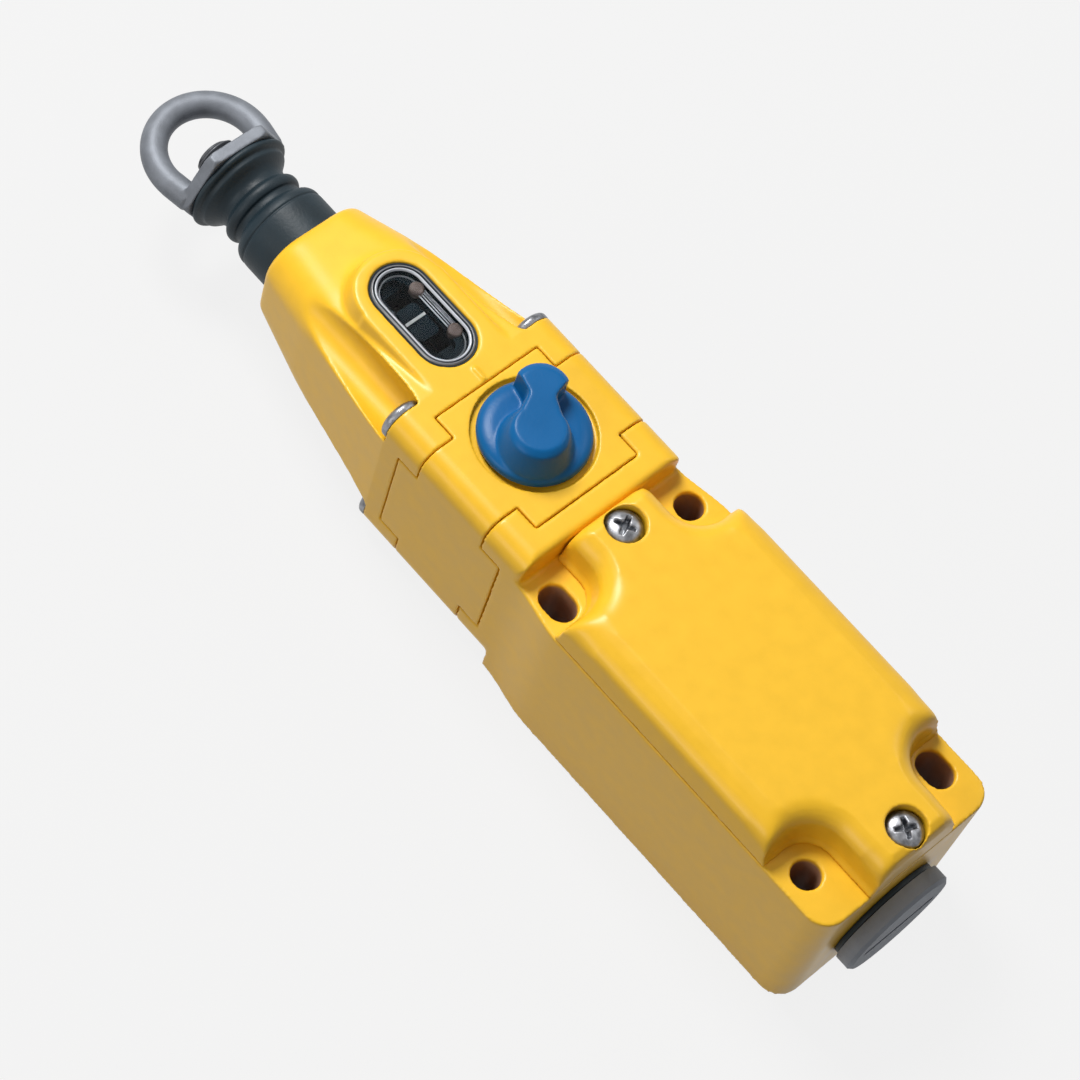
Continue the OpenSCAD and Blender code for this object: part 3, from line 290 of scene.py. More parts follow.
LOOKS = {
    # cast yellow: its last colour is painted shade on the walls of the mounting holes
    "cast_yellow": dict(colour=(0.90, 0.52, 0.022), rough=0.40, tone=0.03, grain=3600, bump=0.000012,
                        spec=0.30, coat=0.20, coat_rough=0.26, hole_shade_colour=(0.36, 0.20, 0.13)),
    "black_rubber": dict(colour=(0.009, 0.020, 0.028), rough=0.5, tone=0.3, bump=0.00004, spec=0.3),
    "zinc_screw": dict(colour=(0.235, 0.24, 0.255), rough=0.34, metal=1.0, tone=0.5, grain=9000),
    "clear_lens": dict(colour=(0.94, 0.96, 0.97), rough=0.03, tone=0.01, bump=0.0, rough_var=0.02),
    "black_plastic": dict(colour=(0.003, 0.010, 0.015), rough=0.5, tone=0.2, spec=0.05),
    "peg_plastic": dict(colour=(0.115, 0.085, 0.075), rough=0.5, tone=0.45, grain=6000, spec=0.2),
    "white_mark": dict(colour=(0.42, 0.43, 0.43), rough=0.5, spec=0.2),
    "steel": dict(colour=(0.5, 0.51, 0.53), rough=0.35, metal=1.0),
    "eye_steel": dict(colour=(0.175, 0.19, 0.215), rough=0.56, metal=0.45, tone=0.16, grain=4200,
                      bump=0.00003, rough_var=0.05),
    "brass": dict(colour=(0.70, 0.48, 0.18), rough=0.3, metal=1.0),
    "blue_plastic": dict(colour=(0.001, 0.108, 0.31), rough=0.36, tone=0.05, spec=0.22),
    "red_plastic": dict(colour=(0.35, 0.02, 0.015), rough=0.45, spec=0.3),
    "plug_plastic": dict(colour=(0.30, 0.325, 0.37), rough=0.6, tone=0.25, grain=900, bump=0.00012,
                         spec=0.3),
    # looks that no slot of the record names
    "lens_edge": dict(colour=(0.16, 0.17, 0.19), rough=0.2, tone=0.2, coat=0.5, coat_rough=0.05),
    # painted glint: the clear lens bevel is opaque pale grey in place of the light it catches; the window's
    # wires take this grey too
    "lens_bevel_glint": dict(colour=(0.52, 0.55, 0.60), rough=0.2, tone=0.12, coat=0.5, coat_rough=0.05),
    # painted shade: near black in the nose's bores and window pocket, and on the arm under the window
    "bore": dict(colour=(0.004, 0.010, 0.015), rough=0.5, tone=0.2, spec=0.05),
    "recess": dict(colour=(0.24, 0.25, 0.27), rough=0.3, metal=1.0, tone=0.5, grain=12000),
    "rod_steel": dict(colour=(0.10, 0.105, 0.115), rough=0.42, metal=0.7, tone=0.2),
}
MATS = {name: material(name, **look) for name, look in LOOKS.items()}
glass = MATS["clear_lens"].node_tree.nodes["Principled BSDF"]
glass.inputs["Transmission Weight"].default_value = 1.0
glass.inputs["IOR"].default_value = GLASS_IOR


# ---------- shapes in millimetres, as vertices and faces ----------

def skin(rows, cols, rows_close=True, cols_close=True):
    """Quads over a grid of points that are given row by row."""
    faces = []
    for row in range(rows if rows_close else rows - 1):
        here, there = row * cols, (row + 1) % rows * cols
        for col in range(cols if cols_close else cols - 1):
            after = (col + 1) % cols
            faces.append((here + col, here + after, there + after, there + col))
    return faces


def caps(rows, cols):
    """The two faces that close a tube of rows."""
    return [tuple(range(cols - 1, -1, -1)), tuple(range((rows - 1) * cols, rows * cols))]


def joined(shapes):
    """Several shapes as one."""
    verts, faces = [], []
    for more_verts, more_faces in shapes:
        faces += [tuple(i + len(verts) for i in f) for f in more_faces]
        verts += more_verts
    return verts, faces


def revolve(outline, centre, axis="X", steps=96, closed=True):
    """Turns an [along, radius] outline round an axis through centre."""
    verts = []
    for k in range(steps):
        c, s = math.cos(TAU * k / steps), math.sin(TAU * k / steps)
        for a, r in outline:
            if axis == "X":
                verts.append((centre[0] + a, centre[1] + r * c, centre[2] + r * s))
            else:
                verts.append((centre[0] + r * c, centre[1] + r * s, centre[2] + a))
    return verts, skin(steps, len(outline), cols_close=closed)


def obround_sweep(centre, pitch, outline, steps=48, closed=True):
    """Sweeps a [radius, height] outline round an obround that lies along X."""
    verts = []
    for half, x in ((0, pitch / 2), (1, -pitch / 2)):
        for k in range(steps + 1):
            a = math.pi * (half + k / steps) - math.pi / 2
            c, s = math.cos(a), math.sin(a)
            verts += [(centre[0] + x + r * c, centre[1] + r * s, centre[2] + h) for r, h in outline]
    return verts, skin(2 * (steps + 1), len(outline), cols_close=closed)


def spring(x0, x1, radius, wire, turns, centre, steps=32, sides=12, crowd=0.06):
    """A coil along X with capped ends, whose turns crowd a little in the middle."""
    n = int(turns * steps)
    verts = []
    for i in range(n + 1):
        a, t = TAU * i / steps, i / n
        ease = t + crowd * math.sin(TAU * t) / TAU
        for j in range(sides):
            b = TAU * j / sides
            q = radius + wire * math.cos(b)
            x = x0 + wire + (x1 - x0 - 2 * wire) * ease + wire * math.sin(b)
            verts.append((x, centre[0] + q * math.cos(a), centre[1] + q * math.sin(a)))
    return verts, skin(n + 1, sides, rows_close=False) + caps(n + 1, sides)


def rounded(points, radius, steps=4, most=0.45):
    """A closed outline with a curve in place of each corner, which takes at most a share of a side."""
    out = []
    n = len(points)
    for i in range(n):
        p = Vector(points[i])
        before, after = Vector(points[i - 1]) - p, Vector(points[(i + 1) % n]) - p
        cut = min(radius, before.length * most, after.length * most)
        a, b = p + before.normalized() * cut, p + after.normalized() * cut
        for k in range(steps + 1):
            t = k / steps
            out.append(tuple((1 - t) ** 2 * a + 2 * t * (1 - t) * p + t ** 2 * b))
    return out


def smooth_line(points, per):
    """Points of a curve that passes through the given ones (Catmull-Rom)."""
    out = []
    p = [np.array(q, float) for q in points]
    for i in range(len(p) - 1):
        a, b, c, d = p[max(i - 1, 0)], p[i], p[i + 1], p[min(i + 2, len(p) - 1)]
        for k in range(per):
            t = k / per
            out.append(tuple(0.5 * (2 * b + (c - a) * t + (2 * a - 5 * b + 4 * c - d) * t ** 2
                                    + (3 * b - a - 3 * c + d) * t ** 3)))
    out.append(tuple(p[-1]))
    return out


# ---------- pieces ----------

def piece(name, shape, mat, body, replaced=(), smooth=True):
    """An object made of a shape in millimetres."""
    verts, faces = shape
    mesh = bpy.data.meshes.new(name)
    mesh.from_pydata([tuple(c * MM for c in v) for v in verts], [], faces)
    bm = bmesh.new()
    bm.from_mesh(mesh)
    bmesh.ops.remove_doubles(bm, verts=bm.verts, dist=WELD)
    bm.to_mesh(mesh)
    bm.free()
    mesh.validate()
    obj = bpy.data.objects.new(name, mesh)
    bpy.context.collection.objects.link(obj)
    finish_piece(obj, mat, body, replaced, smooth)
    return obj


def finish_piece(obj, mat, body, replaced=(), smooth=True):
    """Normals, material and body; a piece whose body isn't one name is attached to no body and stays where it
    is.
    """
    bm = bmesh.new()
    bm.from_mesh(obj.data)
    bmesh.ops.recalc_face_normals(bm, faces=bm.faces)
    for f in bm.faces:
        f.smooth = smooth
    bm.to_mesh(obj.data)
    bm.free()
    obj.data.materials.clear()
    obj.data.materials.append(mat)
    if isinstance(body, str):
        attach(obj, body)
    else:
        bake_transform(obj)
    if replaced:
        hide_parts(*replaced)


# ---------- castings, knob and eye ----------

# how a CAD piece is turned while it is remeshed, so that none of its edges runs along the voxels
TURNED = Euler((0.61, 0.37, 0.83)).to_matrix().to_4x4()
CRUMB = 400   # shells of fewer points than this are left over from the remesh
CRISP = 0.12  # the share of the smoothing where an edge stays crisp

# which faces of the bores take near-black painted shade
BORE_PLAY, POCKET_PLAY = 0.5, 0.25  # how far they lie at most outside the spring seat and the window seal
POCKET_DROP = 0.5                   # how far they lie at least below the lens's top

# which edges of the nose stay crisp
FLANGE_FACE, FLANGE_FADE = 2.2, 1.5  # from the screws' tops to the flange, and the smoothing's fade there
RIDGE_GAP, RIDGE_HALF = 0.3, 1.2     # the index ridge: from here behind the window, so far to both sides

# where a weight of the smoothing is 0 and where it is 1
FRONT_GAP, TIP_GAP, FRONT_RISE = (1.0, 4.0), (1, 3), (5, 8)  # from the window, the tip and the rod's axis
SIDE_Y, SIDE_X = (13.0, 15.5), (12, 9)  # corners at the cover's sides: from the middle and from a hole
END_X, END_Y = (4.0, 5.5), (5.5, 7.0)   # corners at its ends: from a hole and from the middle
CORNER_DROP = 4.5, 3.0                  # how far all of them lie below the top
TOP_X, TOP_Y, TOP_DROP = (26.0, 24.0), (14.0, 13.0), (0.6, 0.4)  # the flat top: from its middle, and below it


def applied(obj):
    """The mesh that an object's modifiers make; they are cleared."""
    bpy.context.view_layer.update()
    done = bpy.data.meshes.new_from_object(obj.evaluated_get(bpy.context.evaluated_depsgraph_get()))
    obj.modifiers.clear()
    return done


def edge_ends(mesh):
    """The first and the second vertex of each edge."""
    edge = np.empty(len(mesh.edges) * 2, np.int32)
    mesh.edges.foreach_get("vertices", edge)
    return edge.reshape(-1, 2).T


def drop_crumbs(mesh):
    """Deletes the tiny shells that the remesh leaves inside a casting."""
    a, b = edge_ends(mesh)
    shell = np.arange(len(mesh.vertices))
    while (shell[a] != shell[b]).any():
        low = shell.copy()
        np.minimum.at(low, shell[a], shell[b])
        np.minimum.at(low, shell[b], shell[a])
        shell = low[low]
    crumb = np.bincount(shell, minlength=len(shell))[shell] < CRUMB
    if crumb.any():
        bm = bmesh.new()
        bm.from_mesh(mesh)
        bm.verts.ensure_lookup_table()
        bmesh.ops.delete(bm, geom=[bm.verts[i] for i in np.flatnonzero(crumb)], context="VERTS")
        bm.to_mesh(mesh)
        bm.free()


def relax(mesh, rounds, weight=None):
    """Moves each vertex halfway to the middle of its neighbours, times its weight, in each round."""
    n = len(mesh.vertices)
    co = np.empty(n * 3)
    mesh.vertices.foreach_get("co", co)
    co = co.reshape(-1, 3)
    a, b = edge_ends(mesh)
    count = np.bincount(a, minlength=n) + np.bincount(b, minlength=n)
    share = 0.5 * (np.ones(n) if weight is None else weight(co))
    for _ in range(rounds):
        total = np.stack([np.bincount(a, co[b, k], n) + np.bincount(b, co[a, k], n) for k in range(3)], 1)
        co = co + (total / count[:, None] - co) * share[:, None]
    mesh.vertices.foreach_set("co", co.ravel())
    mesh.update()


def casting(name, node, voxel, passes, keep=1, parts=None):
    """A rounded copy of a CAD piece: remeshed, smoothed in passes, and thinned to a share of its faces.

    Each pass is a number of rounds and a weight of points. parts maps a material's name to a
    test of points that says which faces take it.
    """
    mesh = nodes[node].data.copy()
    mesh.transform(TURNED @ Matrix.Scale(1 / MM, 4))
    obj = bpy.data.objects.new(name, mesh)
    bpy.context.collection.objects.link(obj)
    remesh = obj.modifiers.new("remesh", "REMESH")
    remesh.mode, remesh.voxel_size, remesh.use_smooth_shade = "VOXEL", voxel, True
    obj.data = applied(obj)
    drop_crumbs(obj.data)
    obj.data.transform(TURNED.inverted())
    for rounds, weight in passes:
        relax(obj.data, rounds, weight)
    if keep < 1:
        thin = obj.modifiers.new("thin", "DECIMATE")
        thin.ratio = keep
        obj.data = applied(obj)
        relax(obj.data, 1, passes[0][1])
    obj.data.transform(Matrix.Scale(MM, 4))
    finish_piece(obj, MATS[slots[node]], bodies[node], [node])
    faces = obj.data.polygons
    middle = np.empty(len(faces) * 3)
    faces.foreach_get("center", middle)
    which = np.zeros(len(faces), np.int32)
    for k, (mat, inside) in enumerate((parts or {}).items()):
        obj.data.materials.append(MATS[mat])
        which[inside(middle.reshape(-1, 3) / MM)] = k + 1
    faces.foreach_set("material_index", which)


def ramp(value, low, high):
    """0 at low and before it, 1 at high and beyond."""
    return np.clip((value - low) / (high - low), 0, 1)


def rod_bores(points):
    """Faces inside the spring chamber, the bush bores and the window pocket, which take near-black painted
    shade.
    """
    lo, hi = box_mm("window_seal")
    x, y, z = points.T
    chamber = np.hypot(y, z - axis_z) < (box_mm("spring_seat")[1].y + BORE_PLAY)
    half_pitch = (hi.x - lo.x - (hi.y - lo.y)) / 2
    over = np.maximum(np.abs(x - (lo.x + hi.x) / 2) - half_pitch, 0)
    pocket = (np.hypot(over, y) < hi.y + POCKET_PLAY) & (z > axis_z)
    return chamber | (pocket & (z < box_mm("window_lens")[1].z - POCKET_DROP))


def nose_edges(points):
    """Full smoothing on the taper, little on the flange and on the index ridge behind the window."""
    x, y, z = points.T
    flange, window_end = box_mm("head_screws")[0].x + FLANGE_FACE, box_mm("window_seal")[1].x
    ridge = (x > window_end + RIDGE_GAP) & (np.abs(y) < RIDGE_HALF) & (z > axis_z)
    return np.where(ridge, CRISP, np.clip((flange - x) / FLANGE_FADE, CRISP, 1))


def nose_front(points):
    """The plain top in front of the window."""
    x, _, z = points.T
    window = box_mm("window_seal")[0].x
    along = ramp(window - x, *FRONT_GAP) * ramp(x - tip_x, *TIP_GAP)
    return along * ramp(z - axis_z, *FRONT_RISE)


def plateau_corners(points):
    """The cover's corners between a scallop and its sides or ends."""
    x, y, z = np.abs(points).T
    side = ramp(y, *SIDE_Y) * ramp(np.abs(x - HOLE_X), *SIDE_X)
    end = ramp(x - HOLE_X, *END_X) * ramp(y, *END_Y)
    return np.maximum(side, end) * ramp(cover_z - z, *CORNER_DROP)


def plain_top(points):
    """The cover's flat top."""
    x, y, z = np.abs(points).T
    return ramp(cover_z - z, *TOP_DROP) * ramp(y, *TOP_Y) * ramp(x, *TOP_X)


def castings():
    """The pieces that are cast, moulded or forged: voxel size in mm, smoothing and thinning of each."""
    # the bores of the nose and the block take near-black painted shade
    casting("nose_casting", "nose_housing", 0.25, [(14, nose_edges), (60, nose_front)],
            parts={"bore": rod_bores})
    casting("cover_casting", "cover", 0.27, [(3, None), (80, plateau_corners), (60, plain_top)])
    casting("block_casting", "reset_block", 0.22, [(2, None)], 0.4, parts={"bore": rod_bores})
    casting("housing_casting", "main_housing", 0.33, [(2, None)], 0.4)
    casting("knob_moulding", "reset_knob", 0.18, [(12, None)], 0.6)
    casting("forged_eye", "eye_nut", 0.2, [(4, None)], 0.8)


# ---------- screws ----------

COVER_HEAD_H = 2.4         # height of the heads of the cover's screws
COVER_TURNS = 0.45, 1.1    # how far they are turned, in radians
HEAD_R, HEAD_H = 3.9, 2.1  # radius and height of the heads of the four screws in the nose
SHANK_R = 2.0
EDGE_SHARE, DOME_POWER = 0.38, 2.6   # the share of a head's height at its edge, and how full its dome is
CROSS_ARM, CROSS_HALF = 0.56, 0.115  # the recess's arm and half its width, as shares of the head's radius
CORE_SHARE = 0.42                    # the recess's round middle, as a share of the arm
CROSS_DEPTH = 0.72                   # the recess's depth, as a share of the head's height
SIDE_SLOPE, END_SLOPE, CORE_SLOPE = 0.14, 0.3, 0.25  # how wide the recess's sloping walls are
# where the recess's material is: within a share of the radius, over the seat and under the dome's top
RECESS_R, OVER_SEAT, UNDER_COVER_TOP, UNDER_HEAD_TOP = 0.6, 0.3, 0.95, 0.7


def screw(head_r, head_h, length, turn, rings=22, steps=96):
    """A pan head with a cross recess and a plain shank below it."""
    arm, half, depth = head_r * CROSS_ARM, head_r * CROSS_HALF, head_h * CROSS_DEPTH
    outline = [(SHANK_R - 0.4, -length), (SHANK_R, -length + 0.4), (SHANK_R, -0.1), (SHANK_R + 0.1, 0.0),
               (head_r - 0.15, 0.0), (head_r, 0.15), (head_r, head_h * EDGE_SHARE)]
    angles = [TAU * k / steps for k in range(steps)]
    verts = [(r * math.cos(a), r * math.sin(a), z) for r, z in outline for a in angles]
    for i in range(1, rings):
        # the rings crowd at the edge, and the arms of the recess widen towards the middle
        r = head_r * math.cos(i / rings * math.pi / 2) ** 0.8
        dome = head_h * (EDGE_SHARE + (1 - EDGE_SHARE) * (1 - (r / head_r) ** DOME_POWER) ** 0.5)
        for a in angles:
            u, v = abs(r * math.cos(a - turn)), abs(r * math.sin(a - turn))
            across, along = min(u, v), max(u, v)
            wide = half * (1 + 0.5 * max(0, 1 - along / arm))
            cut = ramp(wide - across, 0, SIDE_SLOPE) * ramp(arm - along, 0, END_SLOPE)
            core = ramp(arm * CORE_SHARE - math.hypot(u, v), 0, CORE_SLOPE)
            verts.append((r * math.cos(a), r * math.sin(a), dome - depth * max(cut, core)))
    rows = len(verts) // steps
    faces = skin(rows, steps, rows_close=False) + caps(rows, steps)[:1]
    # the recess's bottom is a fan round one point
    verts.append((0, 0, head_h - depth))
    last = (rows - 1) * steps
    faces += [(last + k, last + (k + 1) % steps, rows * steps) for k in range(steps)]
    return verts, faces


def screw_set(name, node, places, along_x, head_r, head_h, length, in_recess):
    """One piece with a screw at each place, for the node's CAD screws."""
    shapes = []
    for (x, y, z), turn in places:
        verts, faces = screw(head_r, head_h, length, turn)
        shapes.append(([(x - c, y + a, z + b) if along_x else (x + a, y + b, z + c) for a, b, c in verts],
                       faces))
    obj = piece(name, joined(shapes), MATS[slots[node]], bodies[node], [node])
    obj.data.materials.append(MATS["recess"])
    for f in obj.data.polygons:
        if in_recess(f.center / MM):
            f.material_index = 1


def screws():
    """The two screws of the cover and the four of the nose, each turned by an angle of its own."""
    lo, hi = box_mm("cover_screws")
    head_r, seat = (hi.y - lo.y) / 2, hi.z - COVER_HEAD_H
    ends = [lo.x + head_r, hi.x - head_r]

    def in_cover_recess(p):
        near = min(math.hypot(p.x - e, p.y) for e in ends)
        return seat + OVER_SEAT < p.z < hi.z - UNDER_COVER_TOP and near < head_r * RECESS_R

    places = [((e, 0, seat), turn) for e, turn in zip(ends, COVER_TURNS)]
    screw_set("cover_screw_heads", "cover_screws", places, False, head_r, COVER_HEAD_H, seat - lo.z,
              in_cover_recess)

    low, high = box_mm("head_screws")
    face = low.x + HEAD_H
    spots = [(y, z) for y in (low.y + HEAD_R, high.y - HEAD_R) for z in (low.z + HEAD_R, high.z - HEAD_R)]

    def in_head_recess(p):
        near = min(math.hypot(p.y - y, p.z - z) for y, z in spots)
        return low.x + UNDER_HEAD_TOP < p.x < face - OVER_SEAT and near < HEAD_R * RECESS_R

    places = [((face, y, z), 0.5 + y * z) for y, z in spots]
    screw_set("head_screw_heads", "head_screws", places, True, HEAD_R, HEAD_H, high.x - face,
              in_head_recess)


# ---------- boot, rod and springs ----------

BOOT_NECK, BOOT_FOOT = 6.8, 8.82        # outer radii of the boot's waists and of its foot in the nose
BOOT_INSIDE, BOOT_HOLE = 5.6, 4.15      # inner radii of its wall and at the rod
STILL_LENGTH, MOVING_LENGTH = 3.4, 2.4  # what keeps its shape: in front of the front bush and at the lip

THREAD_PITCH, THREAD_DEPTH, THREAD_SIDES = 1.25, 0.62, 64
THREAD_RUN_IN, THREAD_RUN_OUT = 3, 1.5  # how far the thread reaches into the boot, and over what it fades
THREAD_FLANK, THREAD_CREST = 1.25, 0.12  # steeper flanks than a plain wave's leave crest and root flat
NECK_FRONT, NECK_BACK, NECK_DEPTH = 9.8, 2.2, 1.4  # the rod's neck, measured from the knob's axis
CLIP_PLAY, CLIP_DEPTH = (0.03, 0.07), 0.55         # the groove of the clip that holds the spring's collar
GROOVE_WALL = 0.001                                # how much of the rod's length a groove's wall takes
TIP_CHAMFER, TIP_SLOPE, END_CHAMFER = 0.9, 1.2, 0.5


def boot():
    """The boot between its lip, which moves with the rod, and its foot in the nose; it is attached to no
    body.
    """
    lo, hi = box_mm("rubber_boot")
    top_r, length = (hi.y - lo.y) / 2, hi.x - lo.x
    neck, foot = BOOT_NECK, BOOT_FOOT
    outside = [
        # the lip against the eye nut, and the slope down to the first waist
        (0.0, 8.6), (0.05, top_r - 0.4), (0.4, top_r - 0.02), (0.85, top_r - 0.02), (1.2, top_r - 0.4),
        (1.45, top_r - 1.0), (1.9, top_r - 1.15), (2.3, top_r - 1.25), (2.8, 8.4), (3.5, 7.55),
        (4.4, neck + 0.12), (5.3, neck),
        # the fold and the second waist
        (5.85, neck + 0.15), (6.2, neck + 0.65), (6.75, neck + 0.98), (7.5, neck + 0.98),
        (8.1, neck + 0.65), (8.45, neck + 0.15), (9.2, neck + 0.1), (9.75, neck + 0.3),
        # the cylinder with its groove, down to the foot
        (10.05, neck + 0.9), (10.55, 8.35), (11.3, 8.72), (12.0, foot), (12.25, 8.68), (12.5, 8.68),
        (12.75, 8.83), (14.5, 8.85), (18.0, 8.84), (length - 0.4, foot), (length - 0.02, 8.5)]
    inside = [(length - 0.02, BOOT_INSIDE), (2.6, BOOT_INSIDE), (1.7, BOOT_HOLE), (0.0, BOOT_HOLE)]
    still, moving = box_mm("front_bush")[0].x - STILL_LENGTH, lo.x + MOVING_LENGTH
    joint = ("body", "rod", (still * MM, 0, axis_z * MM), (moving * MM, 0, axis_z * MM))
    piece("bellows_boot", revolve(smooth_line(outside, 4) + inside, (lo.x, 0, axis_z), steps=112),
          MATS["black_rubber"], joint, ["rubber_boot"])


def rod():
    """The rod with its thread, the neck under the latch's tooth and the groove of the clip."""
    lo, hi = box_mm("pull_rod")
    r = (hi.y - lo.y) / 2
    thread_end = box_mm("eye_nut")[1].x + THREAD_RUN_IN
    knob_x = record["behaviour"]["joints"][1]["pos_m"][0] / MM
    clip_lo, clip_hi = box_mm("collar_clip")
    # grooves: start, end and radius
    neck = (knob_x - NECK_FRONT, knob_x + NECK_BACK, r - NECK_DEPTH)
    clip = (clip_lo.x - CLIP_PLAY[0], clip_hi.x + CLIP_PLAY[1], r - CLIP_DEPTH)
    stations = list(np.arange(lo.x, thread_end, THREAD_PITCH / 10))
    for x0, x1, _ in (clip, neck):
        stations += [x0 - GROOVE_WALL, x0, x0 + 0.3, x1 - 0.3, x1, x1 + GROOVE_WALL]
    stations += [hi.x - END_CHAMFER, hi.x - END_CHAMFER / 2, hi.x]
    stations.sort()

    def radius(x, turn):
        for x0, x1, groove_r in (clip, neck):
            if x0 <= x <= x1:
                return groove_r
        q = r
        if x < thread_end:
            # 0 at the crest, 1 at the root
            wave = abs(((x - lo.x) / THREAD_PITCH - turn) % 1 * 2 - 1)
            fade = min(1, (thread_end - x) / THREAD_RUN_OUT)
            q = r - THREAD_DEPTH * fade * min(1, max(0, wave * THREAD_FLANK - THREAD_CREST))
        if x > hi.x - END_CHAMFER:
            q = min(q, r - END_CHAMFER + (hi.x - x))
        return min(q, r - TIP_CHAMFER + (x - lo.x) * TIP_SLOPE)

    verts = []
    for x in stations:
        for k in range(THREAD_SIDES):
            a, q = TAU * k / THREAD_SIDES, radius(x, k / THREAD_SIDES)
            verts.append((x, q * math.cos(a), axis_z + q * math.sin(a)))
    size = len(stations), THREAD_SIDES
    piece("threaded_rod", (verts, skin(*size, rows_close=False) + caps(*size)), MATS["rod_steel"], "rod",
          ["pull_rod"])


def springs():
    """Both coils, each between the bodies at its ends; they are attached to no body."""
    for name, node, ends, wire, turns, detail in (
            ("run_spring_coil", "run_spring", ("body", "rod"), 0.9, 8, (32, 12)),
            ("carriage_spring_coil", "carriage_spring", ("carriage", "body"), 0.3, 9, (24, 8))):
        lo, hi = box_mm(node)
        z = axis_z if node == "run_spring" else (lo.z + hi.z) / 2
        shape = spring(lo.x, hi.x, (hi.y - lo.y) / 2 - wire, wire, turns, (0, z), *detail)
        piece(name, shape, MATS["steel"], (*ends, (lo.x * MM, 0, z * MM), (hi.x * MM, 0, z * MM)), [node])


# ---------- window ----------

PANE_DROP = 0.75       # from the lens's top to the pane's lower face
STUD_R = 1.3
STUD_SHIFT = 0.2       # how much further to +Y the studs lie than their solids
STUD_INSET = 0.6, 0.4  # from the ends of their solids' box to the studs' axes
STUD_GAP = 0.05        # between their tops and the pane
WIRES = ((-0.42, 0.14), (0.1, 0.1), (0.6, 0.14), (1.05, 0.09))  # +Y from the studs' axes, and radius
WIRE_LIFT = 0.75       # from the foot of the wires' solid to their axes


def window():
    """The lens as rim, bevel, web and pane, the thin rim under it, and the gasket round it."""
    lo, hi = box_mm("window_lens")
    seal_lo, seal_hi = box_mm("window_seal")
    r = (seal_hi.y - seal_lo.y) / 2
    pitch = seal_hi.x - seal_lo.x - 2 * r
    mid = ((lo.x + hi.x) / 2, 0, lo.z)
    thick = hi.z - lo.z
    opening, under = r - 1.46, thick - PANE_DROP  # inner edge of the bevel, and the pane's lower face

    def ring(name, outline, mat, replaced=(), smooth=True, closed=True):
        piece(name, obround_sweep(mid, pitch, outline, closed=closed), MATS[mat], "body", replaced, smooth)

    rim = [(r - 0.62, 0.3), (r - 0.3, 0.3), (r - 0.3, thick - 0.25), (r - 0.55, thick), (r - 0.72, thick),
           (r - 0.72, thick - 0.5)]
    ring("lens_rim", rounded(rim, 0.1), "lens_edge", ["window_lens"])
    # the clear bevel is opaque pale grey: a painted glint
    bevel = [(r - 1.02, thick - 0.45), (r - 0.98, thick - 0.12), (r - 1.1, thick), (r - 1.25, thick - 0.02),
             (opening, thick - 0.3), (opening, thick - 0.45)]
    ring("lens_bevel_glint", rounded(bevel, 0.08), "lens_bevel_glint")
    web = [(opening, under), (r - 0.6, under), (r - 0.6, thick - 0.4), (opening, thick - 0.4)]
    ring("lens_web", web, "black_plastic", smooth=False)
    pane = [(0.0, under), (r - 1.4, under), (r - 1.4, thick - 0.35), (0.0, thick - 0.35)]
    ring("lens_pane", pane, "clear_lens", smooth=False, closed=False)
    inner = [(r - 2.05, -0.05), (r - 1.75, -0.05), (r - 1.75, 0.2), (r - 2.05, 0.2)]
    ring("window_inner_rim", rounded(inner, 0.08), "lens_edge")
    cord = [(r - 0.3, 0.2), (r, 0.2), (r, thick - 0.15), (r - 0.3, thick - 0.3)]
    ring("window_gasket", rounded(cord, 0.12), "black_rubber", ["window_seal"])


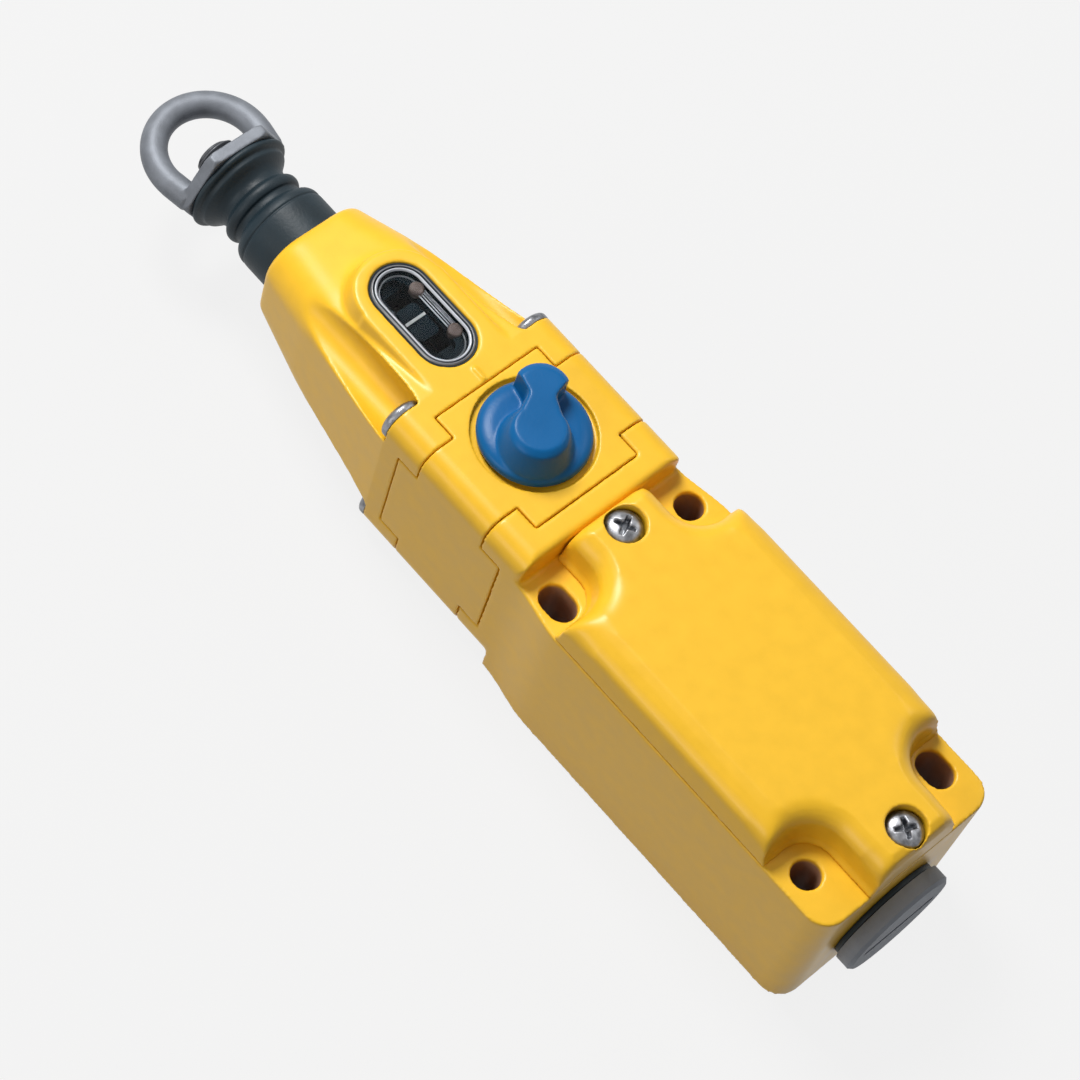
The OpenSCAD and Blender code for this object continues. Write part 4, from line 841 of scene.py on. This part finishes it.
def under_window():
    """The two studs and the thin wires that show through the pane."""
    lo, hi = box_mm("window_pegs")
    y = (lo.y + hi.y) / 2 + STUD_SHIFT
    tall = box_mm("window_lens")[1].z - PANE_DROP - STUD_GAP - lo.z
    top = [(tall - 0.25, STUD_R - 0.04), (tall - 0.08, STUD_R - 0.2), (tall, STUD_R - 0.5)]
    stud = [(0.0, 0.0), (0.0, STUD_R), (tall - 0.35, STUD_R), *smooth_line(top, 3), (tall, 0.0)]
    piece("window_studs", joined([revolve(stud, (x, y, lo.z), "Z", 40, False)
                                  for x in (lo.x + STUD_INSET[0], hi.x - STUD_INSET[1])]),
          MATS["peg_plastic"], "body", ["window_pegs"])

    lo, hi = box_mm("window_rail")
    length = hi.x - lo.x
    # the wires take the pale grey of the bevel's painted glint
    piece("window_wires", joined([revolve([(0, 0), (0, wire), (length, wire), (length, 0)],
                                          (lo.x, y + across, lo.z + WIRE_LIFT), "X", 12, False)
                                  for across, wire in WIRES]),
          MATS["lens_bevel_glint"], "body", ["window_rail"])


# ---------- small parts that keep their CAD mesh ----------

CAD_WELD = 0.000002  # metres: points of a CAD piece that lie closer than this become one
BEVEL_ANGLE, BEVEL_SEGMENTS = 28, 3  # only edges that turn by more degrees than this are bevelled
EDGE_WIDTHS = {  # in millimetres
    "window_frame": 0.12, "indicator_slide": 0.2, "indicator_arm": 0.1, "front_bush": 0.2,
    "rear_bush": 0.2, "spring_seat": 0.1, "spring_collar": 0.2, "collar_clip": 0.08,
    "knob_shaft": 0.12, "shaft_clip": 0.08, "latch_slide": 0.12, "latch_plate": 0.15,
    "contact_base": 0.25, "base_screws": 0.12, "fixed_contacts": 0.1, "terminal_clamps": 0.12,
    "terminal_screws": 0.12, "contact_carriage": 0.2, "contact_bridges": 0.12, "drive_pin": 0.25,
    "conduit_plug": 0.35, "plug_washer": 0.12, "earth_screw": 0.12, "earth_clamp": 0.1,
}


def small_parts():
    """Bevels the sharp edges of the CAD pieces that are shown as they are."""
    for node, width in EDGE_WIDTHS.items():
        weld = nodes[node].modifiers.new("weld", "WELD")
        weld.merge_threshold = CAD_WELD
        bevel = nodes[node].modifiers.new("bevel", "BEVEL")
        bevel.width, bevel.segments, bevel.limit_method = width * MM, BEVEL_SEGMENTS, "ANGLE"
        bevel.angle_limit = math.radians(BEVEL_ANGLE)
        bevel.use_clamp_overlap = True
        bevel.harden_normals = True
        bevel.miter_outer = "MITER_ARC"


def cad_materials():
    """Each CAD node takes its slot's look, but the arm under the window takes the bores' near-black painted
    shade.
    """
    for name, obj in nodes.items():
        obj.data.materials.clear()
        obj.data.materials.append(MATS["bore" if name == "indicator_arm" else slots[name]])


cad_materials()
castings()
screws()
boot()
rod()
springs()
window()
under_window()
small_parts()
camera()
studio()
